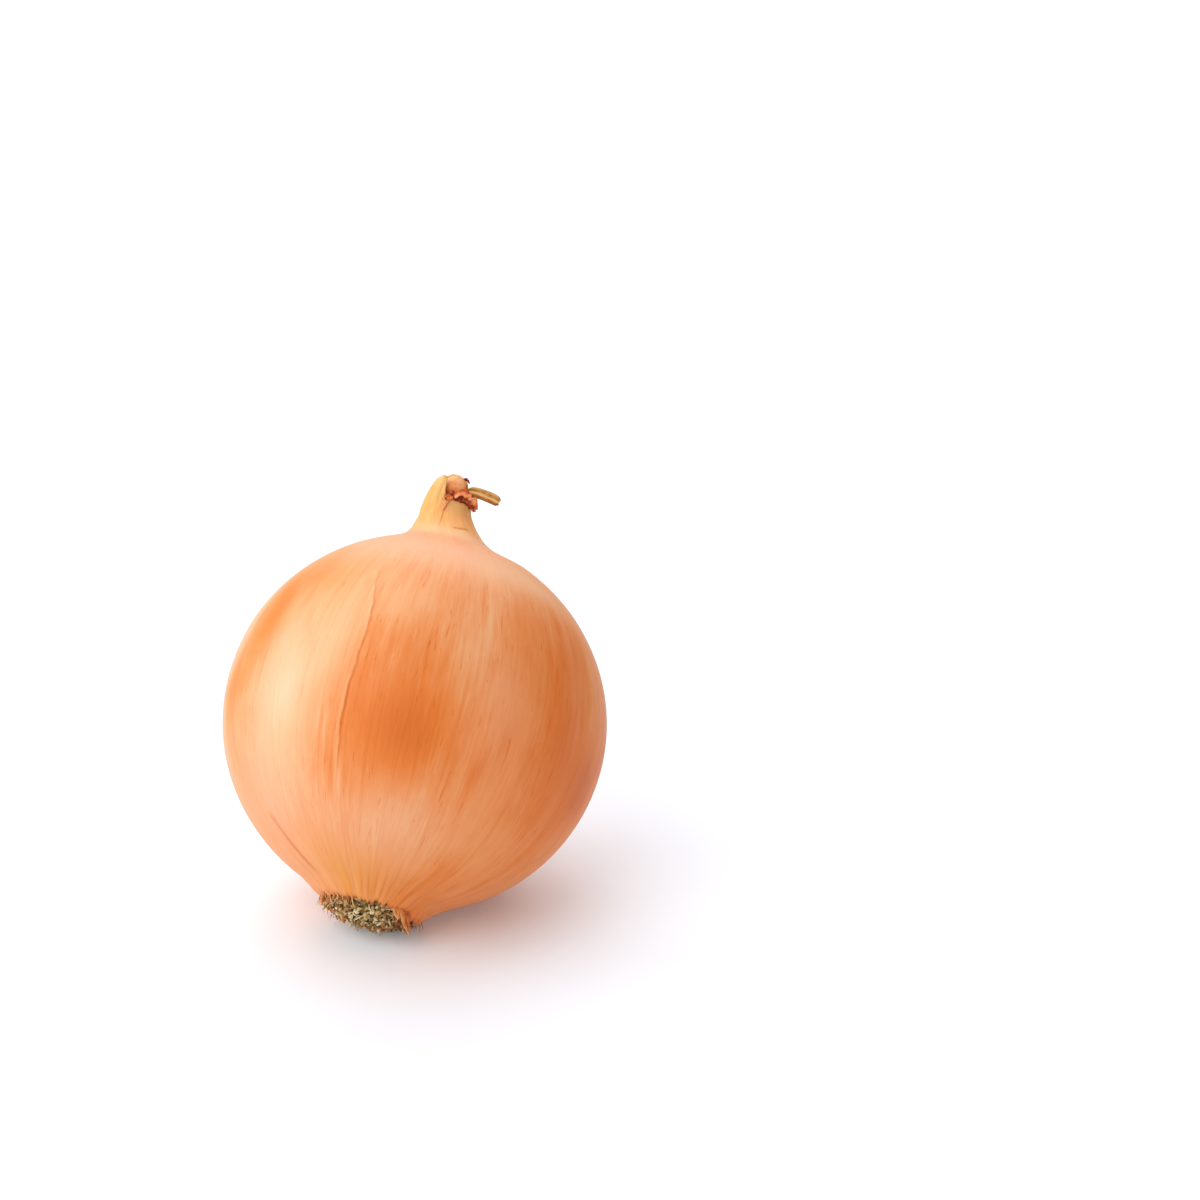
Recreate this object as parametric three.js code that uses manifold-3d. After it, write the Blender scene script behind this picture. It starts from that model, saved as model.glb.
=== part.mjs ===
// A whole brown-skinned onion as it comes out of the net: a papery globe, a withered neck at the
// top and a crown of cut roots underneath. It lies at rest on its belly and on the edge of the
// root crown, so its axis leans back and to one side.
//
// Millimetres and degrees. The row frame is +Z up, with the origin on the table under the centre
// of the globe. The onion's own frame, in which every piece is drawn, has its origin at the centre
// of the globe, +Z up the axis from roots to neck and -Y towards the front.

import * as THREE from "three";
import { mergeVertices } from "three/addons/utils/BufferGeometryUtils.js";
import Module from "manifold-3d";

// ---------------------------------------------------------------- driving dimensions

const GLOBE_RADIUS = 37.55; // at the equator
const GLOBE_HALF_HEIGHT = 37.05; // centre of the globe to where its bare poles would be
const LEAN_BACK = 32.7; // of the axis, away from the front
const LEAN_SIDE = 12.4; // of the axis, towards +X
const RESTING_DENT = 0.6; // how far the belly is flattened where it rests

const ROOT_RIM_RADIUS = 9.9; // where the skin ends around the roots
const ROOT_RIM_Z = -37.9;
const ROOT_FLARE_START = 24; // from the root pole, where the skin leaves the globe's curve
const RIM_TOOTH = 0.5; // the skin's ragged lower edge
const SKIN_THICKNESS = 0.8;
const ROOT_SEAT_Z = -36; // floor of the hollow that the root crown sits in

const SHOULDER_START = 24; // from the neck pole, where the skin leaves the globe's curve
const NECK_SIDESTEP = -3.55; // the neck stands off the axis, towards -X
const NECK_FOOT_Z = 33.85; // it starts to lean over here
const NECK_LEAN_HEIGHT = 12; // and has reached its sidestep this much higher
const NECK_DEPTH_SHARE = 0.84; // the withered neck is flatter from front to back
const MOUTH_BACK_Z = 50.8; // the neck's torn edge, at the back
const MOUTH_SIDE_Z = 49.6; // at the left
const MOUTH_LOW_Z = 44.4; // and at the front, where it is torn lower
const MOUTH_FLOOR_Z = 41.2;

const RIBS = 27; // broad, low ribs of the skin, running from roots to neck
const RIB_HEIGHT = 0.13; // on the globe
const CREASE_HEIGHT = 0.34; // where the skin is gathered, at the roots and the neck

const SPLIT_ANGLE = -112; // the outermost skin ends here in a long edge down the front
const SPLIT_STEP = 0.22;

const FIT_GAP = 0.35; // between two nodes
const CROWN_RADIUS = ROOT_RIM_RADIUS - SKIN_THICKNESS - FIT_GAP; // the root crown in its hollow
const DOME_RADIUS = CROWN_RADIUS - 0.7; // the domed part that shows
const DOME_TOP_Z = -38.2;
const DOME_TIP_Z = -41.2;
const ROOT_STUBS = 96;
const STUB_LENGTH = [0.8, 1.5]; // shortest and longest, of what stands out of the dome
const STUB_RADIUS = [0.5, 0.78];

const LEAF_HALF_WIDTH = [1.25, 0.8]; // of the withered leaf, at its foot and its tip
const LEAF_THICKNESS = 0.64;
const LEAF_GUTTER = 0.75; // how deeply it is folded along its length

const COLUMNS = 4 * RIBS;
const GLOBE_RINGS = 22;

const deg = THREE.MathUtils.degToRad;
const { lerp, smoothstep } = THREE.MathUtils;
const wasm = await Module();
wasm.setup();

// ---------------------------------------------------------------- helpers

/** Small seeded random number generator, 0 to 1 (mulberry32). */
function seeded(seed) {
  let state = seed;
  return () => {
    state = (state + 0x6d2b79f5) | 0;
    let t = Math.imul(state ^ (state >>> 15), 1 | state);
    t = (t + Math.imul(t ^ (t >>> 7), 61 | t)) ^ t;
    return ((t ^ (t >>> 14)) >>> 0) / 4294967296;
  };
}

/** A closed solid through rings of equally many points, each ring counter-clockwise as seen from
 *  the last one, with a fan of triangles over both ends. */
function loft(rings) {
  const n = rings[0].length;
  const middle = (ring) =>
    ring.reduce((sum, p) => sum.add(p), new THREE.Vector3()).divideScalar(n);
  const points = [...rings.flat(), middle(rings[0]), middle(rings.at(-1))];
  const [first, last] = [points.length - 2, points.length - 1];
  const top = (rings.length - 1) * n;
  const index = [];
  for (let j = 0; j < n; j++) {
    const k = (j + 1) % n;
    for (let i = 0; i < top; i += n) {
      index.push(i + j, i + k, i + n + k, i + j, i + n + k, i + n + j);
    }
    index.push(first, k, j, last, top + j, top + k);
  }
  const geometry = new THREE.BufferGeometry().setFromPoints(points);
  geometry.setIndex(index);
  return geometry;
}

/** A geometry as a solid that can be joined and cut. */
function solidOf(geometry) {
  const bare = geometry.clone();
  bare.deleteAttribute("normal");
  bare.deleteAttribute("uv");
  const merged = mergeVertices(bare, 1e-4);
  return new wasm.Manifold(
    new wasm.Mesh({
      numProp: 3,
      vertProperties: merged.attributes.position.array,
      triVerts: new Uint32Array(merged.index.array),
    }),
  );
}

/** A solid as a geometry, shaded flat. */
function geometryOf(solid) {
  const mesh = solid.getMesh();
  const indexed = new THREE.BufferGeometry();
  indexed.setAttribute("position", new THREE.BufferAttribute(mesh.vertProperties, 3));
  indexed.setIndex(new THREE.BufferAttribute(mesh.triVerts, 1));
  const geometry = indexed.toNonIndexed();
  geometry.computeVertexNormals();
  return geometry;
}

/** A tapered blade or stub along a curve: at() gives each section's half width and half
 *  thickness, and flat is the direction that its broad face looks in. */
function blade(curve, flat, sections, sides, at) {
  const rings = [];
  for (let i = 0; i <= sections; i++) {
    const t = i / sections;
    const along = curve.getTangent(t);
    const across = new THREE.Vector3().crossVectors(flat, along).normalize();
    const up = new THREE.Vector3().crossVectors(along, across);
    const [halfWidth, halfThickness] = at(t);
    const ring = [];
    for (let j = 0; j < sides; j++) {
      const a = (2 * Math.PI * j) / sides;
      ring.push(
        curve
          .getPoint(t)
          .addScaledVector(across, halfWidth * Math.cos(a))
          .addScaledVector(up, halfThickness * Math.sin(a)),
      );
    }
    rings.push(ring);
  }
  return loft(rings);
}

const curveThrough = (...points) =>
  new THREE.CatmullRomCurve3(points.map((p) => new THREE.Vector3(...p)));

// ---------------------------------------------------------------- how the onion lies

const lying = new THREE.Group();
lying.rotation.set(-deg(LEAN_BACK), deg(LEAN_SIDE), 0);
lying.updateMatrixWorld();
const axis = new THREE.Vector3(0, 0, 1).applyQuaternion(lying.quaternion);
// The lowest point of a leaning spheroid lies this far under its centre.
const BELLY_DEPTH = Math.hypot(
  GLOBE_RADIUS * Math.hypot(axis.x, axis.y),
  GLOBE_HALF_HEIGHT * axis.z,
);
lying.position.z = BELLY_DEPTH - RESTING_DENT;
lying.updateMatrixWorld();

/** What the table would take away, in the onion's own frame. */
function tableBlock() {
  const size = 4 * GLOBE_RADIUS;
  const block = new THREE.BoxGeometry(size, size, size);
  block.translate(0, 0, -size / 2);
  return solidOf(block.applyMatrix4(lying.matrixWorld.clone().invert()));
}

// ---------------------------------------------------------------- the skin's surface

// Half the outline of shoulder and neck: distance from the neck's middle, and height.
const NECK_OUTLINE = new THREE.SplineCurve(
  [
    [GLOBE_RADIUS * Math.sin(deg(SHOULDER_START)), GLOBE_HALF_HEIGHT * Math.cos(deg(SHOULDER_START))],
    [11.5, 35.35],
    [9.5, 36.4],
    [7.8, 37.9],
    [6.6, 39.7],
    [5.8, 41.2],
    [5.25, 42.8],
    [4.75, 44.8],
    [4.05, 47.2],
    [3.1, 49.4],
    [2.3, 51.6],
  ].map(([radius, z]) => new THREE.Vector2(radius, z)),
);

/** Where along the neck's outline it reaches a height. */
function neckShareAt(z) {
  let [low, high] = [0, 1];
  for (let i = 0; i < 24; i++) {
    const mid = (low + high) / 2;
    if (NECK_OUTLINE.getPoint(mid).y < z) low = mid;
    else high = mid;
  }
  return low;
}

/** The middle of the neck, off the axis. */
const neckMiddle = (z) => {
  const share = THREE.MathUtils.clamp((z - NECK_FOOT_Z) / NECK_LEAN_HEIGHT, 0, 1);
  return NECK_SIDESTEP * Math.sin((Math.PI / 2) * share);
};

/** The torn edge of the neck: high round the back and left, low across the front. */
function mouthEdge(angle) {
  const side = Math.atan2(Math.sin(angle), Math.cos(angle));
  const low =
    smoothstep(side, deg(-122), deg(-98)) * (1 - smoothstep(side, deg(18), deg(50)));
  const high = lerp(MOUTH_SIDE_Z, MOUTH_BACK_Z, Math.sin(angle));
  const across = MOUTH_LOW_Z - 0.5 * Math.cos(angle);
  const torn = 0.1 * Math.sin(11 * angle) + 0.08 * Math.sin(17 * angle + 1);
  return lerp(high, across, low) + torn;
}

/** How far the skin stands out from its smooth form: ribs on the globe, gathered creases at both
 *  ends, and the step where the outermost skin ends. */
function relief(angle, z) {
  const gathered = smoothstep(-z, 27, 37) + 0.3 * smoothstep(z, 33, 38);
  const wander = 0.6 * Math.sin(z / 11) + 0.4 * Math.sin(3 * angle);
  const rib = Math.cos(RIBS * angle + wander) * (0.75 + 0.25 * Math.cos(5 * angle + 1));
  const fromSplit = angle - deg(SPLIT_ANGLE);
  const turn = Math.atan2(Math.sin(fromSplit), Math.cos(fromSplit));
  const covered = smoothstep(-turn, -0.01, 0.03) * (1 - smoothstep(-turn, 0.5, 1.6));
  const splitLength = 1 - smoothstep(Math.abs(z), 20, 32);
  return (
    lerp(RIB_HEIGHT, CREASE_HEIGHT, Math.min(1, gathered)) * rib +
    SPLIT_STEP * covered * splitLength
  );
}

/** A point at a radius and height round the middle given, on the neck's flattened section. */
function around(angle, radius, z, middle = 0, depthShare = 1) {
  return new THREE.Vector3(
    middle + radius * Math.cos(angle),
    radius * Math.sin(angle) * depthShare,
    z,
  );
}

/** A point on the neck at a height, inset from its outer face. */
function onNeck(angle, z, inset = 0) {
  const depth = lerp(1, NECK_DEPTH_SHARE, smoothstep(z, 35.8, 42));
  const radius = NECK_OUTLINE.getPoint(neckShareAt(z)).x - inset;
  return around(angle, radius + (inset ? 0 : relief(angle, z)), z, neckMiddle(z), depth);
}

/** One ring of points, by a function of the angle and the column. */
const ringOf = (at) =>
  Array.from({ length: COLUMNS }, (_, j) => at((2 * Math.PI * j) / COLUMNS, j));

/** The hollow under the globe that the root crown sits in, and the skin's ragged edge round it. */
function rootRings() {
  const inner = ROOT_RIM_RADIUS - SKIN_THICKNESS;
  const random = seeded(3);
  const edgeZ = ringOf(() => ROOT_RIM_Z + RIM_TOOTH * (2 * random() - 1));
  return [
    ringOf((a) => around(a, inner, ROOT_SEAT_Z)),
    ringOf((a, j) => around(a, inner, edgeZ[j])),
    ringOf((a, j) => around(a, ROOT_RIM_RADIUS, edgeZ[j])),
  ];
}

/** The globe with its flare down to the root rim. */
function globeRings() {
  const flareEnd = new THREE.Vector2(ROOT_RIM_RADIUS, ROOT_RIM_Z);
  const onGlobe = (pole) =>
    new THREE.Vector2(GLOBE_RADIUS * Math.sin(pole), -GLOBE_HALF_HEIGHT * Math.cos(pole));
  const flare = new THREE.QuadraticBezierCurve(
    flareEnd,
    new THREE.Vector2(ROOT_RIM_RADIUS + 1.6, ROOT_RIM_Z + 1.9),
    onGlobe(deg(ROOT_FLARE_START)),
  );
  const outline = [0.33, 0.67].map((t) => flare.getPoint(t));
  const end = Math.PI - deg(SHOULDER_START);
  for (let i = 0; i < GLOBE_RINGS; i++) {
    outline.push(onGlobe(lerp(deg(ROOT_FLARE_START), end, i / (GLOBE_RINGS - 1))));
  }
  return outline.map(({ x, y }) => ringOf((a) => around(a, x + relief(a, y), y)));
}

/** Shoulder and neck up to the torn edge, over it and down to the floor of the mouth. */
function neckRings() {
  const shares = [0.1, 0.2, 0.31, 0.43, 0.55, 0.67, 0.79, 0.9, 1];
  const foot = NECK_OUTLINE.getPoint(0).y;
  const outer = shares.map((share) =>
    ringOf((a) => onNeck(a, lerp(foot, mouthEdge(a), share))),
  );
  const inner = [1, 0.5, 0].map((share) =>
    ringOf((a) => onNeck(a, lerp(MOUTH_FLOOR_Z, mouthEdge(a) - 0.1, share), SKIN_THICKNESS)),
  );
  return [...outer, ...inner];
}

/** The torn flap of skin that hangs over the roots at the front right. */
function rootFlap() {
  const curve = curveThrough([7.0, -7.6, -35.6], [7.1, -7.5, -38.2], [8.6, -6.4, -41.0]);
  return blade(curve, new THREE.Vector3(0.5, -0.86, 0), 5, 6, (t) => [
    lerp(2.4, 0.35, t ** 1.2),
    0.38,
  ]);
}

/** The globe with its neck, in one skin. */
function bulb() {
  const body = solidOf(loft([...rootRings(), ...globeRings(), ...neckRings()]));
  return geometryOf(body.add(solidOf(rootFlap())).subtract(tableBlock()));
}

// ---------------------------------------------------------------- the root crown

/** Height of the dome where its slope has turned this far from the tip. */
const domeZ = (turn) => lerp(DOME_TOP_Z, DOME_TIP_Z, Math.cos(turn));

/** The domed base that the roots grow from, with its straight side in the hollow. */
function crownDome() {
  const sides = 36;
  const lump = (a, z) => 0.25 * Math.sin(5 * a + z) + 0.15 * Math.sin(9 * a + 2 * z) - 0.4;
  const ring = (radius, z, lumpiness) =>
    Array.from({ length: sides }, (_, j) => {
      const a = (2 * Math.PI * j) / sides;
      return around(a, radius + lumpiness * lump(a, z), z);
    });
  const dome = [0.12, 0.4, 0.65, 0.85, 1].map((share) => {
    const turn = (Math.PI / 2) * share;
    return ring(DOME_RADIUS * Math.sin(turn), domeZ(turn), share);
  });
  return loft([
    ...dome,
    ring(CROWN_RADIUS, DOME_TOP_Z + 0.6, 0),
    ring(CROWN_RADIUS, ROOT_SEAT_Z - FIT_GAP, 0),
  ]);
}

/** One cut root: a short crooked stub that leaves the dome and points away from the globe. */
function rootStub(share, angle, random) {
  const turn = (Math.PI / 2) * Math.sqrt(share);
  const foot = around(angle, (DOME_RADIUS - 0.3) * Math.sin(turn), domeZ(turn) + 0.3);
  const crooked = () => new THREE.Vector3(random(), random(), random()).subScalar(0.5);
  const out = around(angle, Math.sin(turn), -Math.cos(turn) - 0.6);
  out.addScaledVector(crooked(), 0.7).normalize();
  const length = lerp(...STUB_LENGTH, random());
  const radius = lerp(...STUB_RADIUS, random());
  const curve = new THREE.CatmullRomCurve3([
    foot.clone().addScaledVector(out, -0.5),
    foot.clone().addScaledVector(out, length * 0.5),
    foot.clone().addScaledVector(out, length).addScaledVector(crooked(), 0.45),
  ]);
  const flat = Math.abs(out.x) < 0.8 ? new THREE.Vector3(1, 0, 0) : new THREE.Vector3(0, 1, 0);
  return blade(curve, flat, 2, 5, (t) => [radius * (1 - 0.3 * t), radius * (1 - 0.3 * t)]);
}

/** The crown: its dome and all the cut roots, spread by the golden angle. */
function rootCrown() {
  const random = seeded(7);
  const golden = Math.PI * (3 - Math.sqrt(5));
  let crown = solidOf(crownDome());
  for (let i = 0; i < ROOT_STUBS; i++) {
    crown = crown.add(solidOf(rootStub((i + 0.5) / ROOT_STUBS, i * golden, random)));
  }
  return geometryOf(crown.subtract(tableBlock()));
}

// ---------------------------------------------------------------- what stands in the neck

/** The crumpled ends of the inner leaves: a ruffled plug in the mouth, with one curl that hangs
 *  over the low front edge. */
function neckScales() {
  const levels = [
    // radius, height and how strongly it is ruffled
    [4.35, MOUTH_FLOOR_Z + FIT_GAP, 0],
    [4.0, 42.6, 0.25],
    [3.45, 44.2, 0.5],
    [2.9, 45.6, 0.8],
    [2.0, 46.2, 0.8],
    [1.0, 45.2, 0.4],
  ];
  const sides = 42;
  const plug = levels.map(([radius, z, ruffle]) =>
    Array.from({ length: sides }, (_, j) => {
      const a = (2 * Math.PI * j) / sides;
      const fold = Math.sin(6 * a + 0.8) + 0.6 * Math.sin(11 * a + z);
      const wave = 0.45 * Math.sin(4 * a + 2);
      const width = radius + ruffle * (0.35 * fold - 0.3);
      return around(a, width, z + ruffle * wave, neckMiddle(z), NECK_DEPTH_SHARE - 0.04);
    }),
  );
  const curl = blade(
    curveThrough(
      [-3.2, -1.2, 44.8],
      [-2.2, -3.2, 46.0],
      [-0.7, -3.7, 46.5],
      [0.6, -3.1, 45.6],
      [1.75, -2.7, 43.9],
    ),
    new THREE.Vector3(0.3, -0.5, 0.8),
    8,
    7,
    (t) => [lerp(0.95, 0.55, t), lerp(0.5, 0.36, t)],
  );
  return geometryOf(solidOf(loft(plug)).add(solidOf(curl)));
}

/** A withered leaf, folded along its length, that leaves the mouth to the right. */
function dryLeaf() {
  const curve = curveThrough(
    [-2.2, 0.9, 47.5],
    [0.4, 0.2, 48.3],
    [3.2, -0.5, 48.1],
    [5.3, -0.9, 47.6],
    [6.6, -1.1, 47.4],
  );
  const across = [-1, -0.5, 0, 0.5, 1];
  const bow = (s) => LEAF_GUTTER * (1 - s * s);
  const front = across.map((s) => [bow(s) + LEAF_THICKNESS / 2, s]);
  const back = across.map((s) => [bow(s) - LEAF_THICKNESS / 2, 0.86 * s]);
  const section = [...back, ...front.reverse()];
  const sections = 10;
  const rings = [];
  for (let i = 0; i <= sections; i++) {
    const t = i / sections;
    const { x, y, z } = curve.getPoint(t);
    const half = lerp(...LEAF_HALF_WIDTH, t) * (1 - 0.35 * smoothstep(t, 0.85, 1));
    rings.push(section.map(([out, s]) => new THREE.Vector3(x, y - out, z + half * s)));
  }
  return loft(rings);
}

// ---------------------------------------------------------------- the onion

const skin = new THREE.MeshStandardMaterial({ color: 0xe0884c, roughness: 0.38, metalness: 0 });
const rootBrown = new THREE.MeshStandardMaterial({ color: 0x8f7a55, roughness: 0.95, metalness: 0 });
const scaleBrown = new THREE.MeshStandardMaterial({ color: 0xa8552c, roughness: 0.7, metalness: 0 });
const leafTan = new THREE.MeshStandardMaterial({ color: 0xb58a45, roughness: 0.75, metalness: 0 });

function piece(name, geometry, material) {
  const mesh = new THREE.Mesh(geometry, material);
  mesh.name = name;
  lying.add(mesh);
}

piece("bulb", bulb(), skin);
piece("root_crown", rootCrown(), rootBrown);
piece("neck_scales", neckScales(), scaleBrown);
piece("dry_leaf", dryLeaf(), leafTan);

const onion = new THREE.Group();
onion.add(lying);

export default onion;
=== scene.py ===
"""A whole brown-skinned onion, dressed over its solids.

The onion lies on its belly and on the edge of its root crown. Every piece is drawn in the onion's
own frame, in millimetres: origin at the centre of the globe, +Z up the axis from roots to neck and
-Y towards the front. `OnionForm.matrix` then lays it down in the row frame, in metres.
"""

import logging
import math
from dataclasses import dataclass
from enum import Enum
from typing import Optional, Sequence

import bpy
import numpy as np
from bpy.types import Material, Node, NodeSocket, NodeTree, Object
from mathutils import Euler, Matrix, Vector, noise


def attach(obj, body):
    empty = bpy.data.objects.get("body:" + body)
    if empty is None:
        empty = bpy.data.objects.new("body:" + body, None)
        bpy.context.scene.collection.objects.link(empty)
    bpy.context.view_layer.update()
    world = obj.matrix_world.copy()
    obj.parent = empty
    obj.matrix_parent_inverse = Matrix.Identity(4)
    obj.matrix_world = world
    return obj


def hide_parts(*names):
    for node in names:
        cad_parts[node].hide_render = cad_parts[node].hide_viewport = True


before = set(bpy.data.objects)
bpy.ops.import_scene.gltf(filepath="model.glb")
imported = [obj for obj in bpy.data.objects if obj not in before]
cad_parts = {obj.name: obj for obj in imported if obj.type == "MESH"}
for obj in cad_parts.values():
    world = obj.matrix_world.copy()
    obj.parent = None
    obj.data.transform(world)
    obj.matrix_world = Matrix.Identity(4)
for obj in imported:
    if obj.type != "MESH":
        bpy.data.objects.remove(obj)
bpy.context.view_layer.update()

LOG = logging.getLogger("onion")
MM = 0.001
SKIN_COORD = "skin_coord"  # cosine and sine of the angle round the axis, and millimetres up the skin
Array = np.ndarray
Pair = tuple[float, float]
Triple = tuple[float, float, float]
Stops = Sequence[tuple[float, str]]
Faces = list[tuple[int, ...]]
Sockets = dict[str, NodeSocket]


class Slot(Enum):
    """The record's material slots."""

    SKIN = "onion_skin"
    ROOTS = "dry_roots"
    NECK = "neck_scale"
    LEAF = "dry_leaf"


# ---------------- small helpers


def linear(hex_colour: str) -> tuple[float, ...]:
    """Turn an sRGB colour into Blender's linear one.

    Args:
        hex_colour: Six hexadecimal digits, such as "E8A060".

    Returns:
        Red, green, blue and alpha, linear.
    """
    parts = [int(hex_colour[i:i + 2], 16) / 255 for i in (0, 2, 4)]
    low = [c / 12.92 if c <= 0.04045 else ((c + 0.055) / 1.055) ** 2.4 for c in parts]
    return (low[0], low[1], low[2], 1.0)


def add_node(tree: NodeTree, kind: str, inputs: Optional[dict] = None,
             stops: Stops = (), **settings: object) -> Node:
    """Add a node with its settings, its input values and its links.

    Args:
        tree: The node tree to add to.
        kind: The node's type name.
        inputs: Input name or index to a value, a socket, or a node whose first output is linked.
        stops: For a colour ramp, its positions and sRGB colours.
        settings: The node's own properties.

    Returns:
        The new node.
    """
    node = tree.nodes.new(kind)
    for name, value in settings.items():
        setattr(node, name, value)
    for key, value in (inputs or {}).items():
        source = value.outputs[0] if isinstance(value, Node) else value
        if isinstance(source, NodeSocket):
            tree.links.new(source, node.inputs[key])
        else:
            node.inputs[key].default_value = source
    for place, (position, colour) in enumerate(stops):
        elements = node.color_ramp.elements
        element = elements[place] if place < 2 else elements.new(position)
        element.position = position
        element.color = linear(colour)
    return node


def calc(tree: NodeTree, operation: str, *values: object, clamp: bool = False) -> Node:
    """Add a Math node that works on one to three numbers, sockets or nodes."""
    return add_node(tree, "ShaderNodeMath", dict(enumerate(values)), operation=operation,
                    use_clamp=clamp)


def remap(tree: NodeTree, value: object, low: float, high: float, to_low: object = 0.0,
          to_high: object = 1.0, smooth: bool = False) -> Node:
    """Add a node that takes a value from one range to another, eased at both ends if smooth."""
    return add_node(tree, "ShaderNodeMapRange", {
        "Value": value, "From Min": low, "From Max": high, "To Min": to_low, "To Max": to_high,
    }, interpolation_type="SMOOTHSTEP" if smooth else "LINEAR")


def noise_at(tree: NodeTree, place: object, scale: float = 1.0, detail: float = 2.0,
             roughness: float = 0.5, distortion: float = 0.0) -> Node:
    """Add fractal noise. Its first output is a number, its second a colour."""
    return add_node(tree, "ShaderNodeTexNoise", {
        "Vector": place, "Scale": scale, "Detail": detail, "Roughness": roughness,
        "Distortion": distortion,
    })


def vector(tree: NodeTree, *parts: object) -> Node:
    """Add a node that joins three numbers or sockets into a vector."""
    return add_node(tree, "ShaderNodeCombineXYZ", dict(enumerate(parts)))


def ramp(tree: NodeTree, level: object, stops: Stops) -> NodeSocket:
    """The colour that a ramp of sRGB stops gives for a level."""
    return add_node(tree, "ShaderNodeValToRGB", {"Fac": level}, stops).outputs["Color"]


def tinted(tree: NodeTree, amount: object, colour: NodeSocket, tint: str) -> NodeSocket:
    """A colour with an amount of an sRGB tint mixed in."""
    return add_node(tree, "ShaderNodeMix", {0: amount, 6: colour, 7: linear(tint)},
                    data_type="RGBA").outputs[2]


def stored(tree: NodeTree, name: str) -> NodeSocket:
    """The number that a piece stores on its points under a name."""
    return add_node(tree, "ShaderNodeAttribute", attribute_name=name).outputs["Fac"]


def bump(tree: NodeTree, height: object, strength: float, depth: float) -> Node:
    """Add a bump of a depth in millimetres."""
    return add_node(tree, "ShaderNodeBump", {
        "Strength": strength, "Distance": depth * MM, "Height": height,
    })


def blank_material(name: str) -> tuple[Material, NodeTree]:
    """Make a material without nodes.

    Args:
        name: The material's name.

    Returns:
        The material and its empty node tree.
    """
    material = bpy.data.materials.new(name)
    material.use_nodes = True
    material.node_tree.nodes.clear()
    return material, material.node_tree


def surface(tree: NodeTree, inputs: dict) -> None:
    """Give a material its Principled shader, by input names."""
    shader = add_node(tree, "ShaderNodeBsdfPrincipled", inputs)
    add_node(tree, "ShaderNodeOutputMaterial", {"Surface": shader})


def open_tree(name: str, inputs: dict[str, float]) -> tuple[NodeTree, Sockets]:
    """Start a Geometry Nodes tree.

    Args:
        name: The tree's name.
        inputs: Its inputs' names and own values. An int makes a whole-number input.

    Returns:
        The tree, and the sockets that give its inputs inside it.
    """
    tree = bpy.data.node_groups.new(name, "GeometryNodeTree")
    face = tree.interface
    face.new_socket("Geometry", in_out="INPUT", socket_type="NodeSocketGeometry")
    for label, value in inputs.items():
        kind = "NodeSocketInt" if isinstance(value, int) else "NodeSocketFloat"
        face.new_socket(label, in_out="INPUT", socket_type=kind).default_value = value
    face.new_socket("Geometry", in_out="OUTPUT", socket_type="NodeSocketGeometry")
    given = add_node(tree, "NodeGroupInput").outputs
    return tree, {label: given[label] for label in ("Geometry", *inputs)}


def random_between(tree: NodeTree, low: object, high: object, seed: int) -> NodeSocket:
    """A random number for each point or instance."""
    return add_node(tree, "FunctionNodeRandomValue", {2: low, 3: high, "Seed": seed},
                    data_type="FLOAT").outputs[1]


def stored_vector(tree: NodeTree, name: str) -> Node:
    """Add a node that reads a piece's stored vector in Geometry Nodes."""
    return add_node(tree, "GeometryNodeInputNamedAttribute", {"Name": name},
                    data_type="FLOAT_VECTOR")


def smoothstep(x: Array, low: float, high: float) -> Array:
    """Rise smoothly from 0 at low to 1 at high."""
    t = np.clip((np.asarray(x, dtype=float) - low) / (high - low), 0.0, 1.0)
    return t * t * (3.0 - 2.0 * t)


def lerp(a: float, b: float, t: Array) -> Array:
    """Go from a to b as t goes from 0 to 1."""
    return a + (b - a) * t


def wrapped(angle: Array) -> Array:
    """Bring an angle in degrees between -180 and 180."""
    return (np.asarray(angle) + 180.0) % 360.0 - 180.0


def bell(angle: Array, middle: float, width: float) -> Array:
    """A smooth hump round the axis, 1 at its middle angle, in degrees."""
    return np.exp(-((wrapped(angle - middle) / width) ** 2))


def round_axis(rad: Array, radius: Array, z: Array) -> Array:
    """Points at angles in radians, at a radius and a height."""
    return np.stack([radius * np.cos(rad), radius * np.sin(rad), z * np.ones_like(rad)], -1)


def curve_through(points: Sequence[Sequence[float]], count: int) -> Array:
    """Sample a smooth curve that passes through points.

    Args:
        points: Points of any dimension, in order.
        count: How many samples, ends included.

    Returns:
        The samples, one a row, evenly spaced in the curve's own parameter.
    """
    p = np.asarray(points, dtype=float)
    padded = np.vstack([2 * p[0] - p[1], p, 2 * p[-1] - p[-2]])
    t = np.linspace(0, len(p) - 1, count)
    i = np.minimum(t.astype(int), len(p) - 2)
    f = (t - i)[:, None]
    a, b, c, d = padded[i], padded[i + 1], padded[i + 2], padded[i + 3]
    return 0.5 * (2 * b + (c - a) * f + (2 * a - 5 * b + 4 * c - d) * f**2
                  + (3 * b - a - 3 * c + d) * f**3)


def profile(values: Sequence[float], count: int) -> Array:
    """Sample a smooth run of single numbers, as one column."""
    return curve_through([[value] for value in values], count)


def length_along(line: Array) -> Array:
    """Length travelled at each point of a line."""
    return np.concatenate([[0], np.cumsum(np.linalg.norm(np.diff(line, axis=0), axis=1))])


def roughness_at(points: Array, size: float, octaves: int, seed: float) -> Array:
    """Fractal noise at points.

    Args:
        points: Points, one a row, in millimetres.
        size: Size of the largest lumps, in millimetres.
        octaves: How many finer layers are added.
        seed: Moves the pattern.

    Returns:
        About -1 to 1 for each point.
    """
    shift = Vector((seed * 17.3, seed * 7.9, seed * 3.1))
    return np.array([
        noise.fractal(Vector(p) / size + shift, 0.9, 2.1, octaves) for p in points.reshape(-1, 3)
    ]).reshape(points.shape[:-1])


# ---------------- the onion's form


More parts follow.
